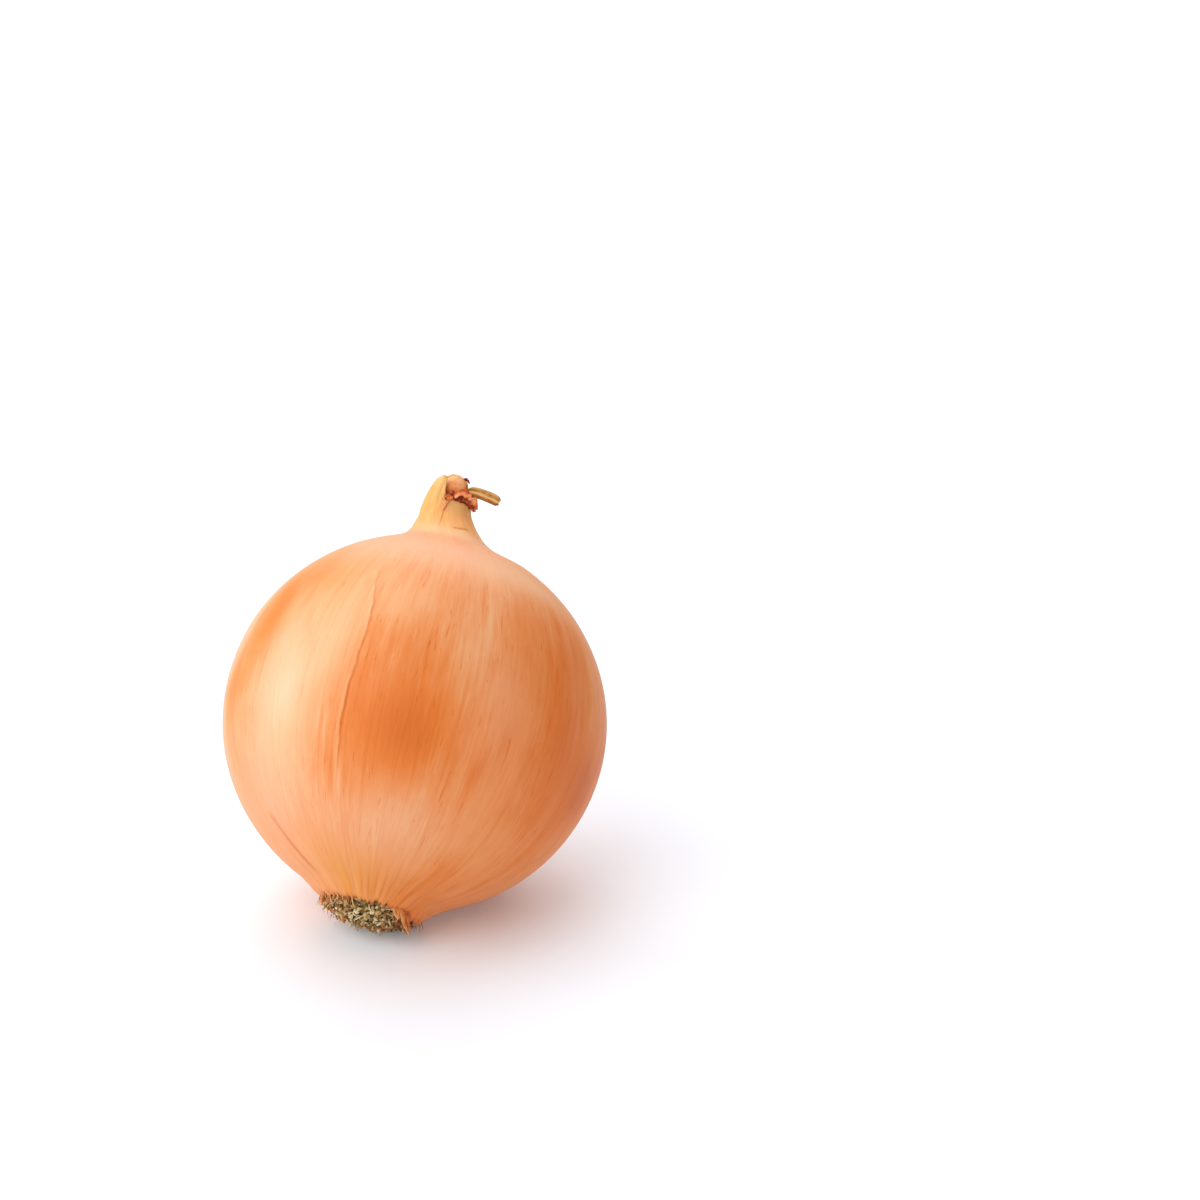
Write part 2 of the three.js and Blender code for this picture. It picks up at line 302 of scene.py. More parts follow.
@dataclass(frozen=True)
class OnionForm:
    """The onion's driving sizes, in millimetres and degrees, as its solids have them."""

    globe_radius: float = 37.55
    globe_half_height: float = 37.05
    lean_back: float = 32.7
    lean_side: float = 12.4
    resting_dent: float = 0.6
    rim_radius: float = 9.9
    rim_z: float = -37.9
    flare_start: float = 24.0
    flare_knee: Pair = (1.6, 1.9)  # from the rim to the knee of the flare
    shoulder_start: float = 24.0
    neck_sidestep: float = -3.55
    neck_foot_z: float = 33.85
    neck_lean_height: float = 12.0
    neck_depth_share: float = 0.84
    mouth_floor_z: float = 41.6
    neck_outline: tuple[Pair, ...] = (
        (15.27, 33.85), (11.5, 35.35), (9.5, 36.4), (7.8, 37.9), (6.6, 39.7), (5.8, 41.2),
        (5.25, 42.8), (4.75, 44.8), (4.05, 47.2), (3.1, 49.4), (2.3, 51.6),
    )

    def turn(self) -> Matrix:
        """The rotation that lays the onion down."""
        back = Matrix.Rotation(math.radians(-self.lean_back), 4, "X")
        return back @ Matrix.Rotation(math.radians(self.lean_side), 4, "Y")

    def matrix(self) -> Matrix:
        """The way from the onion's own millimetres to the row frame's metres.

        Returns:
            The matrix, which turns, scales and lifts the onion onto its flat spot.
        """
        axis = self.turn() @ Vector((0, 0, 1))
        belly = math.hypot(
            self.globe_radius * math.hypot(axis.x, axis.y), self.globe_half_height * axis.z
        )
        lift = Matrix.Translation((0, 0, (belly - self.resting_dent) * MM))
        return lift @ self.turn() @ Matrix.Scale(MM, 4)

    def neck_middle(self, z: Array) -> Array:
        """How far the middle of the neck stands off the axis at a height."""
        share = np.clip((z - self.neck_foot_z) / self.neck_lean_height, 0, 1)
        return self.neck_sidestep * np.sin(np.pi / 2 * share)

    def neck_radius(self, z: Array) -> Array:
        """Radius of the shoulder and neck at a height."""
        line = curve_through(self.neck_outline, 200)
        return np.interp(z, line[:, 1], line[:, 0])

    def globe_outline(self, rows: int) -> Array:
        """Radius and height up the globe, from the root rim to the foot of the shoulder.

        Args:
            rows: How many stations.

        Returns:
            Radius and height, one station a row, evenly spaced along the skin.
        """
        start = math.radians(self.flare_start)
        pole = np.linspace(start, math.pi - math.radians(self.shoulder_start), 240)
        globe = np.stack(
            [self.globe_radius * np.sin(pole), -self.globe_half_height * np.cos(pole)], -1
        )
        t = np.linspace(0, 1, 40)[:-1, None]
        end = np.array([self.rim_radius, self.rim_z])
        knee = end + np.array(self.flare_knee)
        flare = (1 - t) ** 2 * end + 2 * t * (1 - t) * knee + t**2 * globe[0]
        line = np.vstack([flare, globe])
        length = length_along(line)
        even = np.linspace(0, length[-1], rows)
        return np.stack([np.interp(even, length, line[:, k]) for k in (0, 1)], -1)


FORM = OnionForm()


def own_piece(name: str, vertices: Array, faces: Sequence[Sequence[int]],
              material: Material) -> Object:
    """Make an object from points in the onion's own frame.

    Args:
        name: The piece's name.
        vertices: Points, one a row, in millimetres in the onion's own frame.
        faces: Point numbers of each face, counter-clockwise from outside.
        material: The piece's finish.

    Returns:
        The object, at the origin of the row frame, linked to the scene.
    """
    matrix = np.array(FORM.matrix())
    placed = np.asarray(vertices) @ matrix[:3, :3].T + matrix[:3, 3]
    mesh = bpy.data.meshes.new(name)
    mesh.from_pydata(placed.tolist(), [], [list(f) for f in faces])
    mesh.polygons.foreach_set("use_smooth", [True] * len(mesh.polygons))
    mesh.materials.append(material)
    mesh.update()
    obj = bpy.data.objects.new(name, mesh)
    bpy.context.scene.collection.objects.link(obj)
    return obj


def ring_faces(rings: int, columns: int) -> Faces:
    """Faces of a closed form through rings of points, with a fan over both ends.

    Args:
        rings: How many rings.
        columns: Points in each ring.

    Returns:
        The faces. The two fans' middles are the last two points.
    """
    faces: Faces = []
    top = (rings - 1) * columns
    first, last = rings * columns, rings * columns + 1
    for j in range(columns):
        k = (j + 1) % columns
        for i in range(0, top, columns):
            faces.append((i + j, i + k, i + columns + k, i + columns + j))
        faces.append((first, k, j))
        faces.append((last, top + j, top + k))
    return faces


def band_faces(rings: int, columns: int) -> Faces:
    """Faces of an open band through closed rings of points."""
    return [(i + j, i + columns + j, i + columns + (j + 1) % columns, i + (j + 1) % columns)
            for i in range(0, (rings - 1) * columns, columns) for j in range(columns)]


def with_ends(rings: Array) -> Array:
    """Rings of points as one list, with the middles of the two ends added."""
    flat = rings.reshape(-1, rings.shape[-1])
    return np.vstack([flat, rings[0].mean(0), rings[-1].mean(0)])


def value_with_ends(values: Array) -> Array:
    """One number for each point of `with_ends`, from one for each point of the rings."""
    return with_ends(values[..., None])[:, 0]


def set_attribute(obj: Object, name: str, values: Array) -> None:
    """Store a number or a vector on each point of a mesh.

    Args:
        obj: The piece.
        name: The attribute's name.
        values: One value, or one row of three, for each point.
    """
    kind, field = ("FLOAT_VECTOR", "vector") if values.ndim == 2 else ("FLOAT", "value")
    layer = obj.data.attributes.new(name, kind, "POINT")
    layer.data.foreach_set(field, values.astype(np.float32).ravel())


def set_growth(obj: Object, own: Array, slope: float) -> None:
    """Store the directions in which strands grow on a surface.

    Args:
        obj: The surface.
        own: Its points in the onion's own frame, in millimetres.
        slope: How far they lean out for each millimetre from the axis; less than 0 leans in.
    """
    growth = own * np.array([slope, slope, 0.0]) + np.array([0.0, 0.0, -1.0])
    set_attribute(obj, "grow", growth @ np.array(FORM.turn().to_3x3()).T)


def read_points(obj: Object) -> Array:
    """Read a piece's points.

    Args:
        obj: The piece.

    Returns:
        Its points in the row frame, in metres, one a row.
    """
    flat = np.empty(len(obj.data.vertices) * 3)
    obj.data.vertices.foreach_get("co", flat)
    return flat.reshape(-1, 3)


def apply_nodes(obj: Object, tree: NodeTree, values: dict[str, object]) -> None:
    """Run a Geometry Nodes tree on a piece and keep the result as its plain mesh.

    Args:
        obj: The piece.
        tree: The tree.
        values: Input name to value. Inputs that aren't named keep the tree's own default.
    """
    modifier = obj.modifiers.new(tree.name, "NODES")
    modifier.node_group = tree
    identifiers = {
        item.name: item.identifier
        for item in tree.interface.items_tree
        if item.item_type == "SOCKET" and item.in_out == "INPUT"
    }
    for name, value in values.items():
        modifier[identifiers[name]] = value
    depsgraph = bpy.context.evaluated_depsgraph_get()
    result = bpy.data.meshes.new_from_object(
        obj.evaluated_get(depsgraph), preserve_all_data_layers=True, depsgraph=depsgraph
    )
    obj.modifiers.remove(modifier)
    old = obj.data
    obj.data = result
    result.name = old.name
    bpy.data.meshes.remove(old)


def press_onto_table(obj: Object) -> None:
    """Lift whatever would reach below the table up onto it.

    Args:
        obj: The piece.
    """
    points = read_points(obj)
    points[:, 2] = np.maximum(points[:, 2], 0.0)
    obj.data.vertices.foreach_set("co", points.ravel())
    obj.data.update()


def finish_piece(obj: Object, solid: str) -> None:
    """Tie a piece to the frame and report it.

    Args:
        obj: The piece.
        solid: The solid that it stands for.
    """
    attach(obj, "root")
    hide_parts(solid)
    size = [round(v / MM, 1) for v in obj.dimensions]
    LOG.info("%s: %d faces, %s mm", obj.name, len(obj.data.polygons), size)


# ---------------- finishes


@dataclass(frozen=True)
class OnionSkinFinish:
    """Dry outer skin of a brown onion.

    It is a thin papery sheet, cured in the sun. The eye gets a satin sheen that breaks up along
    the veins, a warm glow from the pale flesh just below, and pigment laid down in streaks that
    run from roots to neck.

    Lengths are in millimetres, and those round the onion are taken at the equator. A pair of
    shares says how far a pattern moves the pigment: on plain skin, and at a stain's edge.
    """

    name: str = "onion_skin_cured"
    streak_widths: tuple[float, ...] = (9.0, 2.2, 0.7)
    streak_lengths: tuple[float, ...] = (13.0, 20.0, 7.0)
    streak_bends: tuple[float, ...] = (0.8, 0.3, 0.4)
    streak_roughness: float = 0.55
    streak_shares: tuple[Pair, ...] = ((0.14, 0.06), (0.08, 0.27), (0.11, 0.15))
    vein_spacing: float = 3.6
    vein_length: float = 130.0
    vein_edge: float = 0.045  # half width of a vein, as a share of the spacing
    vein_shares: Pair = (0.05, 0.0)
    tick_size: Pair = (0.45, 4.5)  # round the onion, and up it
    tick_bend: float = 0.7
    tick_shares: Pair = (0.10, 0.12)
    dark_ticks: Pair = (0.66, 0.74)  # noise where a tick starts and where it is full
    pale_ticks: Pair = (0.34, 0.26)
    pale_tick_strength: float = -0.45
    grain_size: Pair = (0.45, 10.0)
    grain_height: float = 0.4  # as a share of the finest streaks' height
    vein_height: float = 0.4
    relief_strength: float = 0.25
    relief_depth: float = 0.05
    pigment_ramp: Stops = (
        (0.0, "F3DABA"), (1.0, "CC6412"), (0.15, "F0C9A0"), (0.30, "EEB887"), (0.45, "EBA670"),
        (0.60, "E79354"), (0.80, "DF7A2C"),
    )
    streaky_stains: tuple[tuple[str, str], ...] = (
        ("straw", "FCB86E"), ("blush", "EFB498"), ("gold", "E89A30"),
    )
    # also the colour of painted shade in the neck's wrinkle and deep in the mouth
    scorch_and_shade_colour: str = "9A4818"
    stain_noise: Pair = (0.32, 0.68)
    stain_strength: Pair = (0.55, 1.45)
    roughness: Pair = (0.46, 0.62)
    glow: Pair = (0.10, 0.60)  # on the globe, and where the neck is thin
    glow_depth: Pair = (1.2, 2.0)
    glow_radius: Triple = (1.0, 0.62, 0.38)

    def along(self, tree: NodeTree, width: float, length: float, shift: float) -> Node:
        """The skin's own coordinate, scaled so that one unit is a width round by a length up.

        Args:
            tree: The node tree.
            width: Millimetres round the onion, at the equator.
            length: Millimetres up the skin.
            shift: Moves the pattern.

        Returns:
            The node that gives the coordinate.
        """
        coord = add_node(tree, "ShaderNodeAttribute", attribute_name=SKIN_COORD)
        around = FORM.globe_radius / width
        return add_node(tree, "ShaderNodeMapping", {
            "Vector": coord.outputs["Vector"],
            "Location": (shift, 2.0 * shift, 3.0 * shift),
            "Scale": (around, around, 1 / length),
        })

    def line_pattern(self, tree: NodeTree) -> tuple[Node, Node]:
        """Fine veins, and short ticks, dark or pale, where the skin has split along a vein.

        Args:
            tree: The node tree.

        Returns:
            The nodes that give the veins, from 0 to 1, and the ticks, less than 0 where pale.
        """
        vein = add_node(tree, "ShaderNodeTexVoronoi", {
            "Vector": self.along(tree, self.vein_spacing, self.vein_length, 1.7), "Scale": 1.0,
        }, feature="DISTANCE_TO_EDGE")
        vein_line = remap(tree, vein, 0.0, self.vein_edge, 1.0, 0.0, smooth=True)
        ticks = noise_at(tree, self.along(tree, *self.tick_size, 5.3), detail=1.0,
                         distortion=self.tick_bend)
        dark = remap(tree, ticks, *self.dark_ticks, smooth=True)
        pale = remap(tree, ticks, *self.pale_ticks, smooth=True)
        return vein_line, calc(tree, "MULTIPLY_ADD", pale, self.pale_tick_strength, dark)

    def build(self) -> Material:
        """Make the material.

        Returns:
            The material, which reads the skin's own attributes.
        """
        material, tree = blank_material(self.name)
        stain = {name: stored(tree, name) for name in (
            "pigment", "feather", "blush", "gold", "straw", "scorch_and_shade", "streak", "thin",
        )}
        streaks = [
            noise_at(tree, self.along(tree, width, length, width),
                     roughness=self.streak_roughness, distortion=bend)
            for width, length, bend in zip(self.streak_widths, self.streak_lengths,
                                           self.streak_bends)
        ]
        vein_line, tick = self.line_pattern(tree)
        layers = [(calc(tree, "ADD", streak, -0.5), shares)
                  for streak, shares in zip(streaks, self.streak_shares)]
        layers += [(vein_line, self.vein_shares), (tick, self.tick_shares)]
        pigment = stain["pigment"]
        for pattern, (share, at_edge) in layers:
            plain = calc(tree, "MULTIPLY", stain["streak"], share)
            amount = calc(tree, "MULTIPLY_ADD", stain["feather"], at_edge, plain)
            pigment = calc(tree, "MULTIPLY_ADD", pattern, amount, pigment)
        colour = ramp(tree, pigment, self.pigment_ramp)
        broken = remap(tree, streaks[1], *self.stain_noise, *self.stain_strength)
        for name, tint in self.streaky_stains:
            amount = calc(tree, "MULTIPLY", stain[name], broken, clamp=True)
            colour = tinted(tree, amount, colour, tint)
        # darkens scorched edges, and paints shade in the wrinkle and deep in the mouth
        colour = tinted(tree, stain["scorch_and_shade"], colour, self.scorch_and_shade_colour)

        grain = noise_at(tree, self.along(tree, *self.grain_size, 8.8))
        height = calc(tree, "MULTIPLY_ADD", grain, self.grain_height, streaks[2])
        height = calc(tree, "MULTIPLY_ADD", vein_line, self.vein_height, height)
        depths = [depth * MM for depth in self.glow_depth]
        surface(tree, {
            "Base Color": colour,
            "Roughness": remap(tree, streaks[1], 0.0, 1.0, *self.roughness),
            "IOR": 1.5,
            "Specular IOR Level": 0.3,
            "Subsurface Weight": remap(tree, stain["thin"], 0.0, 1.0, *self.glow),
            "Subsurface Radius": self.glow_radius,
            "Subsurface Scale": remap(tree, stain["thin"], 0.0, 1.0, *depths),
            "Coat Weight": 0.08,
            "Coat Roughness": 0.42,
            "Normal": bump(tree, height, self.relief_strength, self.relief_depth),
        })
        return material


@dataclass(frozen=True)
class DryTissueFinish:
    """Dead, dried plant tissue: roots, scale ends or a withered leaf.

    It has shrunk and gone brittle, so it is matt and fibrous. Its tone comes from each piece, and
    holds painted shade in folds and hollows and painted light on ridges and at the roots' front.
    """

    name: str
    dark: str
    middle: str
    light: str
    grain: float  # millimetres across one fleck
    tint: str = "B4672C"
    tint_share: float = 0.0
    tint_size: float = 2.2  # millimetres across one tinted area
    stretch: Triple = (1.0, 1.0, 1.0)
    roughness: float = 0.8
    contrast: float = 0.9  # how far the flecks move the tone
    tint_noise: Pair = (0.46, 0.56)
    relief_strength: float = 0.6
    relief_depth: float = 0.12  # millimetres
    glow_depth: float = 0.8  # millimetres

    def build(self) -> Material:
        """Make the material.

        Returns:
            The material. It reads the piece's "tone", from 0 dark to 1 light, and "warm", which
            says how much of the tint shows.
        """
        material, tree = blank_material(self.name)
        place = add_node(tree, "ShaderNodeTexCoord").outputs["Object"]
        turned = add_node(tree, "ShaderNodeMapping", {
            "Vector": place,
            "Rotation": tuple(FORM.turn().inverted().to_euler()),
            "Scale": tuple(s / (self.grain * MM) for s in self.stretch),
        })
        fleck = noise_at(tree, turned, detail=4.0, roughness=0.65)
        spread = calc(tree, "ADD", fleck, -0.5)
        level = calc(tree, "MULTIPLY_ADD", spread, self.contrast, stored(tree, "tone"))
        stops = ((0.08, self.dark), (0.92, self.light), (0.5, self.middle))
        area = noise_at(tree, place, 1 / (self.tint_size * MM))
        share = remap(tree, area, *self.tint_noise, 0.0, self.tint_share)
        share = calc(tree, "MULTIPLY", share, stored(tree, "warm"))
        surface(tree, {
            "Base Color": tinted(tree, share, ramp(tree, level, stops), self.tint),
            "Roughness": self.roughness,
            "IOR": 1.4,
            "Subsurface Weight": 0.08,
            "Subsurface Radius": (1.0, 0.5, 0.25),
            "Subsurface Scale": self.glow_depth * MM,
            "Normal": bump(tree, fleck, self.relief_strength, self.relief_depth),
        })
        return material


@dataclass(frozen=True)
class SweepFinish:
    """Matt white acrylic table, lit faintly from below: bright, with soft shadows."""

    name: str = "matt_white_acrylic"
    colour: str = "E9F1FA"
    roughness: float = 0.9
    glow: float = 0.12

    def build(self) -> Material:
        """Make the material.

        Returns:
            The material.
        """
        material, tree = blank_material(self.name)
        surface(tree, {
            "Base Color": linear(self.colour),
            "Roughness": self.roughness,
            "Emission Color": linear(self.colour),
            "Emission Strength": self.glow,
        })
        return material


# ---------------- the skin


@dataclass(frozen=True)
class Patch:
    """A soft-edged area of the skin where something is stronger.

    Attributes:
        angle: Middle, in degrees round the axis.
        z: Middle, in millimetres up the axis.
        half_angle: Half width, in degrees.
        half_height: Half height, in millimetres.
        amount: Strength at the middle.
    """

    angle: float
    z: float
    half_angle: float
    half_height: float
    amount: float

    def at(self, angle: Array, z: Array) -> Array:
        """The patch's strength at places on the skin.

        Args:
            angle: Degrees round the axis.
            z: Millimetres up the axis.

        Returns:
            The strength at each place, which never quite ends.
        """
        across = wrapped(angle - self.angle) / self.half_angle
        up = (z - self.z) / self.half_height
        return self.amount * np.exp(-(across**2 + up**2))


def patches(*rows: tuple[float, ...]) -> tuple[Patch, ...]:
    """Patches from rows of angle, z, half angle, half height and amount."""
    return tuple(Patch(*row) for row in rows)


class RingStack:
    """Rings of the skin, gathered one after another."""

    def __init__(self) -> None:
        """Start without rings."""
        self.rings: list[Array] = []
        self.angles: list[Array] = []
        self.along: list[float] = []

    def add(self, angle: Array, radius: Array, z: Array, travelled: float,
            middle: float = 0.0, depth: float = 1.0) -> None:
        """Add one ring.

        Args:
            angle: Degrees of the columns.
            radius: Radius at each column, in millimetres.
            z: Height at each column, in millimetres.
            travelled: Millimetres up the skin.
            middle: How far the ring's middle stands off the axis.
            depth: The ring's depth as a share of its width.
        """
        rad = np.radians(angle)
        x = middle + radius * np.cos(rad)
        y = radius * np.sin(rad) * depth
        self.rings.append(np.stack([x, y, z * np.ones_like(angle)], -1))
        self.angles.append(angle)
        self.along.append(travelled)


@dataclass
class Skin:
    """The papery skin: globe, gathered root rim, neck sleeve and its torn mouth."""

    columns: int = 470
    globe_rows: int = 112
    neck_rows: int = 52
    inner_rows: int = 26
    thickness: float = 0.28
    root_seat_z: float = -36.0
    split_line: tuple[Pair, ...] = (
        # height, and the angle where the upper layer of skin ends
        (-40.0, -106.0), (-18.0, -106.4), (-5.0, -106.6), (5.0, -105.8), (14.0, -106.6),
        (27.0, -113.8), (33.0, -112.0), (39.4, -102.0), (41.8, -97.0), (44.0, -93.0),
        (46.0, -100.0), (60.0, -108.0),
    )
    mouth_line: tuple[Pair, ...] = (
        # angle round the neck, and height of the torn edge
        (-180.0, 48.5), (-160.0, 48.8), (-135.0, 49.4), (-120.0, 49.5), (-112.0, 48.7),
        (-106.0, 46.2), (-101.0, 44.7), (-80.0, 44.35), (-55.0, 44.5), (-30.0, 44.3),
        (-8.0, 44.2), (4.0, 45.0), (16.0, 47.6), (28.0, 49.4), (50.0, 50.6), (90.0, 51.2),
        (125.0, 50.6), (155.0, 49.4), (180.0, 48.5),
    )
    split_step: float = 0.11
    overlap_step: float = 0.30
    rib_height: float = 0.045
    vein_height: float = 0.05
    wrinkle_depth: float = 0.28
    tear_depth: float = 0.16
    root_gather: float = 0.20
    neck_folds: float = 0.15
    side_press: float = 0.55  # how far the neck's right side is pressed in
    neck_front: Pair = (-62.0, 34.0)  # its middle and half width, in degrees
    rim_shares: tuple[float, ...] = (1.0, 0.5, 0.0)  # rings inside the root rim, seat to edge
    neck_length: float = 17.0  # millimetres of skin up the neck
    inner_length: float = 5.0  # millimetres of skin down inside it
    neck_crumple: Pair = (0.18, 0.10)  # all round, and less by this at the front
    pigment_level: float = 0.58
    neck_pale: float = 0.22
    # paler inside the neck: painted light, for light coming through the thin skin
    inside_painted_light: float = 0.18
    tear_stain: float = 0.40
    # painted shadow that the upper layer's edge casts on the skin beside it
    layer_painted_shadows: tuple[Pair, ...] = ((0.24, 0.5), (0.08, 3.0))  # strength, degrees
    layer_lip: Pair = (0.12, 1.0)
    torn_scorch: tuple[float, ...] = (0.22, 0.55, 0.4)  # below, at and inside the torn edge
    rim_scorch: float = 0.45
    most_scorch_and_shade: float = 0.92
    most_stain: float = 0.7
    patch_drift: float = 7.0  # millimetres by which stains round the sides wander
    pigment_patches: tuple[Patch, ...] = patches(
        # pale window left of the layer's end, partly a painted highlight, and the strip beside it
        (-128, -4, 14, 17, -0.36), (-114, 10, 8, 11, -0.20),
        # orange crescent along the left side, and the pale strip beyond it
        (-136, 21, 7, 6, 0.18), (-145, 11, 6, 8, 0.36), (-155, -2, 4, 8, 0.32),
        (-166, 2, 6, 20, -0.16),
        # orange stain on the front
        (-95, -7, 16, 12, 0.20), (-83, -8, 12, 9, 0.18), (-90, 9, 8, 11, 0.05),
        # salmon band to the right of the stain
        (-72, 11, 9, 12, -0.15),
        # streaks that stray from the stain
        (-63, -13, 3, 6, 0.20), (-58, -5, 3, 6, 0.10), (-71, -12, 3, 6, 0.10),
        # pale above the stain, and brownish smudges at its right
        (-96, 17, 13, 7, -0.17), (-53, 17, 8, 8, 0.10), (-40, -2, 9, 12, 0.24),
        # tan upper right, below a pale shoulder
        (-32, 17, 12, 9, 0.15), (-50, 29, 32, 5, -0.28),
        # right side, round to the roots; its deeper orange is partly painted shade
        (-17, -6, 16, 14, 0.36), (-52, -34, 26, 5, 0.16), (-18, -26, 16, 8, 0.06),
        # cream band round the neck's foot, and the darker left of the neck
        (-80, 37.4, 60, 1.7, -0.22), (-150, 43, 50, 6, 0.18),
        # pale below the stain, and on the shoulder
        (-86, -24, 22, 6, -0.14), (-108, 31, 36, 5, -0.13),
        # round the back
        (15, 4, 14, 18, 0.10), (48, -6, 13, 20, 0.22), (78, 12, 12, 16, -0.14),
        (104, -4, 10, 22, 0.16), (132, -12, 14, 14, -0.18), (150, 12, 12, 18, 0.14),
        (175, -4, 12, 20, -0.10), (140, 28, 36, 6, -0.14), (30, 28, 26, 6, -0.12),
    )
    crease_painted_shade: tuple[Patch, ...] = patches(
        # painted shade of short creases below the layer's end, with painted highlight on their pale
        # lips
        (-110.4, -13, 0.5, 4.0, 0.16), (-108.4, -17, 0.5, 4.0, 0.15),
        (-113.2, -10, 0.5, 3.0, 0.09), (-104.0, -18, 0.5, 4.0, 0.12),
        (-101.2, -21, 0.5, 3.5, 0.12), (-111.4, -12, 0.6, 5.5, -0.14),
        (-114.0, -8, 0.6, 5.5, -0.12), (-105.0, -18, 0.5, 4.5, -0.10),
        # painted crease shade, single ones at the left, high on the front and low at the right
        (-139.5, 1, 0.5, 4.0, 0.18), (-71.0, 19, 0.5, 4.0, 0.15), (-48.0, -20, 0.6, 6.0, 0.14),
        # painted shade of short creases above the roots
        (-97.0, -34.6, 1.2, 2.2, 0.22), (-91.5, -34.9, 0.9, 2.6, 0.26),
        (-86.0, -34.2, 1.3, 2.4, 0.24), (-80.5, -34.8, 0.9, 2.8, 0.28),
        (-75.0, -34.3, 1.3, 2.2, 0.20), (-66.0, -34.6, 1.1, 2.6, 0.22),
        (-108.0, -34.8, 1.1, 2.4, 0.16), (-58.0, -34.2, 1.2, 3.0, 0.18),
    )
    blush_patches: tuple[Patch, ...] = patches(
        (-130, -2, 14, 16, 0.25), (-140, -25, 22, 9, 0.30), (-62, 0, 8, 10, 0.20),
        (-90, -26, 22, 6, 0.25), (-92, 31, 40, 5, 0.30), (-135, 31, 24, 6, 0.35),
        (-164, 4, 6, 26, 0.40), (90, -20, 50, 12, 0.25), (130, 26, 50, 8, 0.30),
    )
    gold_patches: tuple[Patch, ...] = patches(
        # the first three: a golden sheen down the right side, painted highlight
        (-13, 9, 4.5, 10, 0.40), (-22, 14, 4, 9, 0.46), (-30, 20, 5, 8, 0.26),
        (-150, 41.5, 40, 3.5, 0.35), (-155, -3, 5, 9, 0.35), (-145, 10, 6, 8, 0.20),
        (-128, 22, 14, 7, 0.18), (-108, -34, 36, 4.5, 0.45), (70, 18, 20, 12, 0.20),
    )

    def base_angles(self) -> Array:
        """Angles of the columns, with three close together where the layer ends.

        Returns:
            The angles, in degrees and in order.
        """
        even = np.linspace(-180, 180, self.columns, endpoint=False)
        near = self.split_middle()
        keep = even[np.abs(wrapped(even - near)) > 0.5]
        return np.sort(np.append(keep, [near - 0.16, near, near + 0.35]))

    def split_angle(self, z: Array) -> Array:
        """Where the upper layer of skin ends, at a height.

        Args:
            z: Millimetres up the axis.

        Returns:
            The angle, in degrees.
        """
        line = curve_through(self.split_line, 160)
        waver = 0.10 * np.sin(0.9 * z) + 0.08 * np.sin(2.1 * z + 1.0)
        fade = smoothstep(z, -19, -14) * (1 - smoothstep(z, 16, 26))
        return np.interp(z, line[:, 0], line[:, 1]) + waver * fade

    def split_middle(self) -> float:
        """The angle where the upper layer ends at the globe's widest."""
        return self.split_angle(np.array([0.0]))[0]

    def follow_split(self, angle: Array, z: Array) -> Array:
        """Shift columns so that the same column runs down the layer's end at any height."""
        near = self.split_middle()
        return angle + (self.split_angle(z) - near) * bell(angle, near, 40.0)

    def mouth_edge(self, angle: Array) -> Array:
        """Height of the neck's torn edge: high round the back and left, low across the front.

        Args:
            angle: Degrees round the axis.

        Returns:
            Millimetres up the axis.
        """
        side = wrapped(angle)
        line = curve_through(self.mouth_line, 240)
        points = round_axis(np.radians(angle), 4, 0)
        low = smoothstep(side, -112, -104) * (1 - smoothstep(side, 4, 24))
        torn = lerp(0.12, 0.5, low) * roughness_at(points, 1.3, 3, 2.0)
        return np.interp(side, line[:, 0], line[:, 1]) + torn

    def relief(self, angle: Array, z: Array) -> Array:
        """How far the skin stands out from its smooth form.

        Args:
            angle: Degrees round the axis.
            z: Millimetres up the axis.

        Returns:
            Millimetres outwards: uneven ribs, creases where the skin is gathered, and the steps
            where an upper layer ends.
        """
        rad = np.radians(angle)
        at_roots = smoothstep(-z, 28, 37)
        at_neck = smoothstep(z, 32, 38)
        uneven = (
            np.cos(27 * rad + 0.6 * np.sin(z / 11) + 2.1 * np.sin(2 * rad))
            + 0.7 * np.cos(41 * rad + 1.7 * np.sin(3 * rad) + 0.5)
            + 0.6 * np.cos(17 * rad + 1.2 * np.sin(rad) + z / 30)
        ) / 2.0
        folds = (
            np.cos(7 * rad + 1.3) + 0.6 * np.cos(12 * rad + 0.4 + z / 8)
            + 0.4 * np.cos(19 * rad + 2.1)
        ) / 2.0
        swell = smoothstep(np.abs(z), 36, 10) * 0.5 + 0.5
        ribs = self.rib_height * swell * uneven * (1 - at_neck)
        calm = 1 - 0.6 * bell(angle, *self.neck_front)
        creases = self.root_gather * at_roots * uneven + self.neck_folds * at_neck * folds * calm
        behind = wrapped(angle - self.split_angle(z))
        layer = (behind <= 0) * (1 - smoothstep(-behind, 20, 80))
        on_globe = self.split_step * smoothstep(z, -20, -12) * (1 - smoothstep(z, 12, 26))
        on_neck = self.overlap_step * smoothstep(z, 37.5, 40.5)
        raised = ribs + creases + layer * (on_globe + on_neck)
        sunk = raised - self.wrinkle_depth * self.wrinkle(angle, z)
        return sunk - self.tear_depth * self.tear(angle, z) - self.slim_side(angle, z)

    @staticmethod
    def wrinkle(angle: Array, z: Array) -> Array:
        """The short level wrinkle across the front of the neck.

        Args:
            angle: Degrees round the axis.
            z: Millimetres up the axis.

        Returns:
            0 away from it to 1 along its middle.
        """
        across = wrapped(angle + 66)
        line = 38.75 + 0.006 * across + 0.12 * np.sin(np.radians(across * 9))
        return np.exp(-((z - line) / 0.17) ** 2) * (1 - smoothstep(np.abs(across), 11, 17))

    @staticmethod
    def tear(angle: Array, z: Array) -> Array:
        """The short slanting tear low on the left, from 0 away from it to 1 in its middle."""
        line = -138.8 - 0.85 * (z + 29.8)
        return bell(angle, line, 1.1) * (1 - smoothstep(np.abs(z + 29.6), 3.0, 4.6))

    def slim_side(self, angle: Array, z: Array) -> Array:
        """How far the neck's right side is pressed in, in millimetres."""
        side = bell(angle, -8, 45.0)
        return self.side_press * side * smoothstep(z, 33.9, 36.5) * (1 - smoothstep(z, 42, 46))

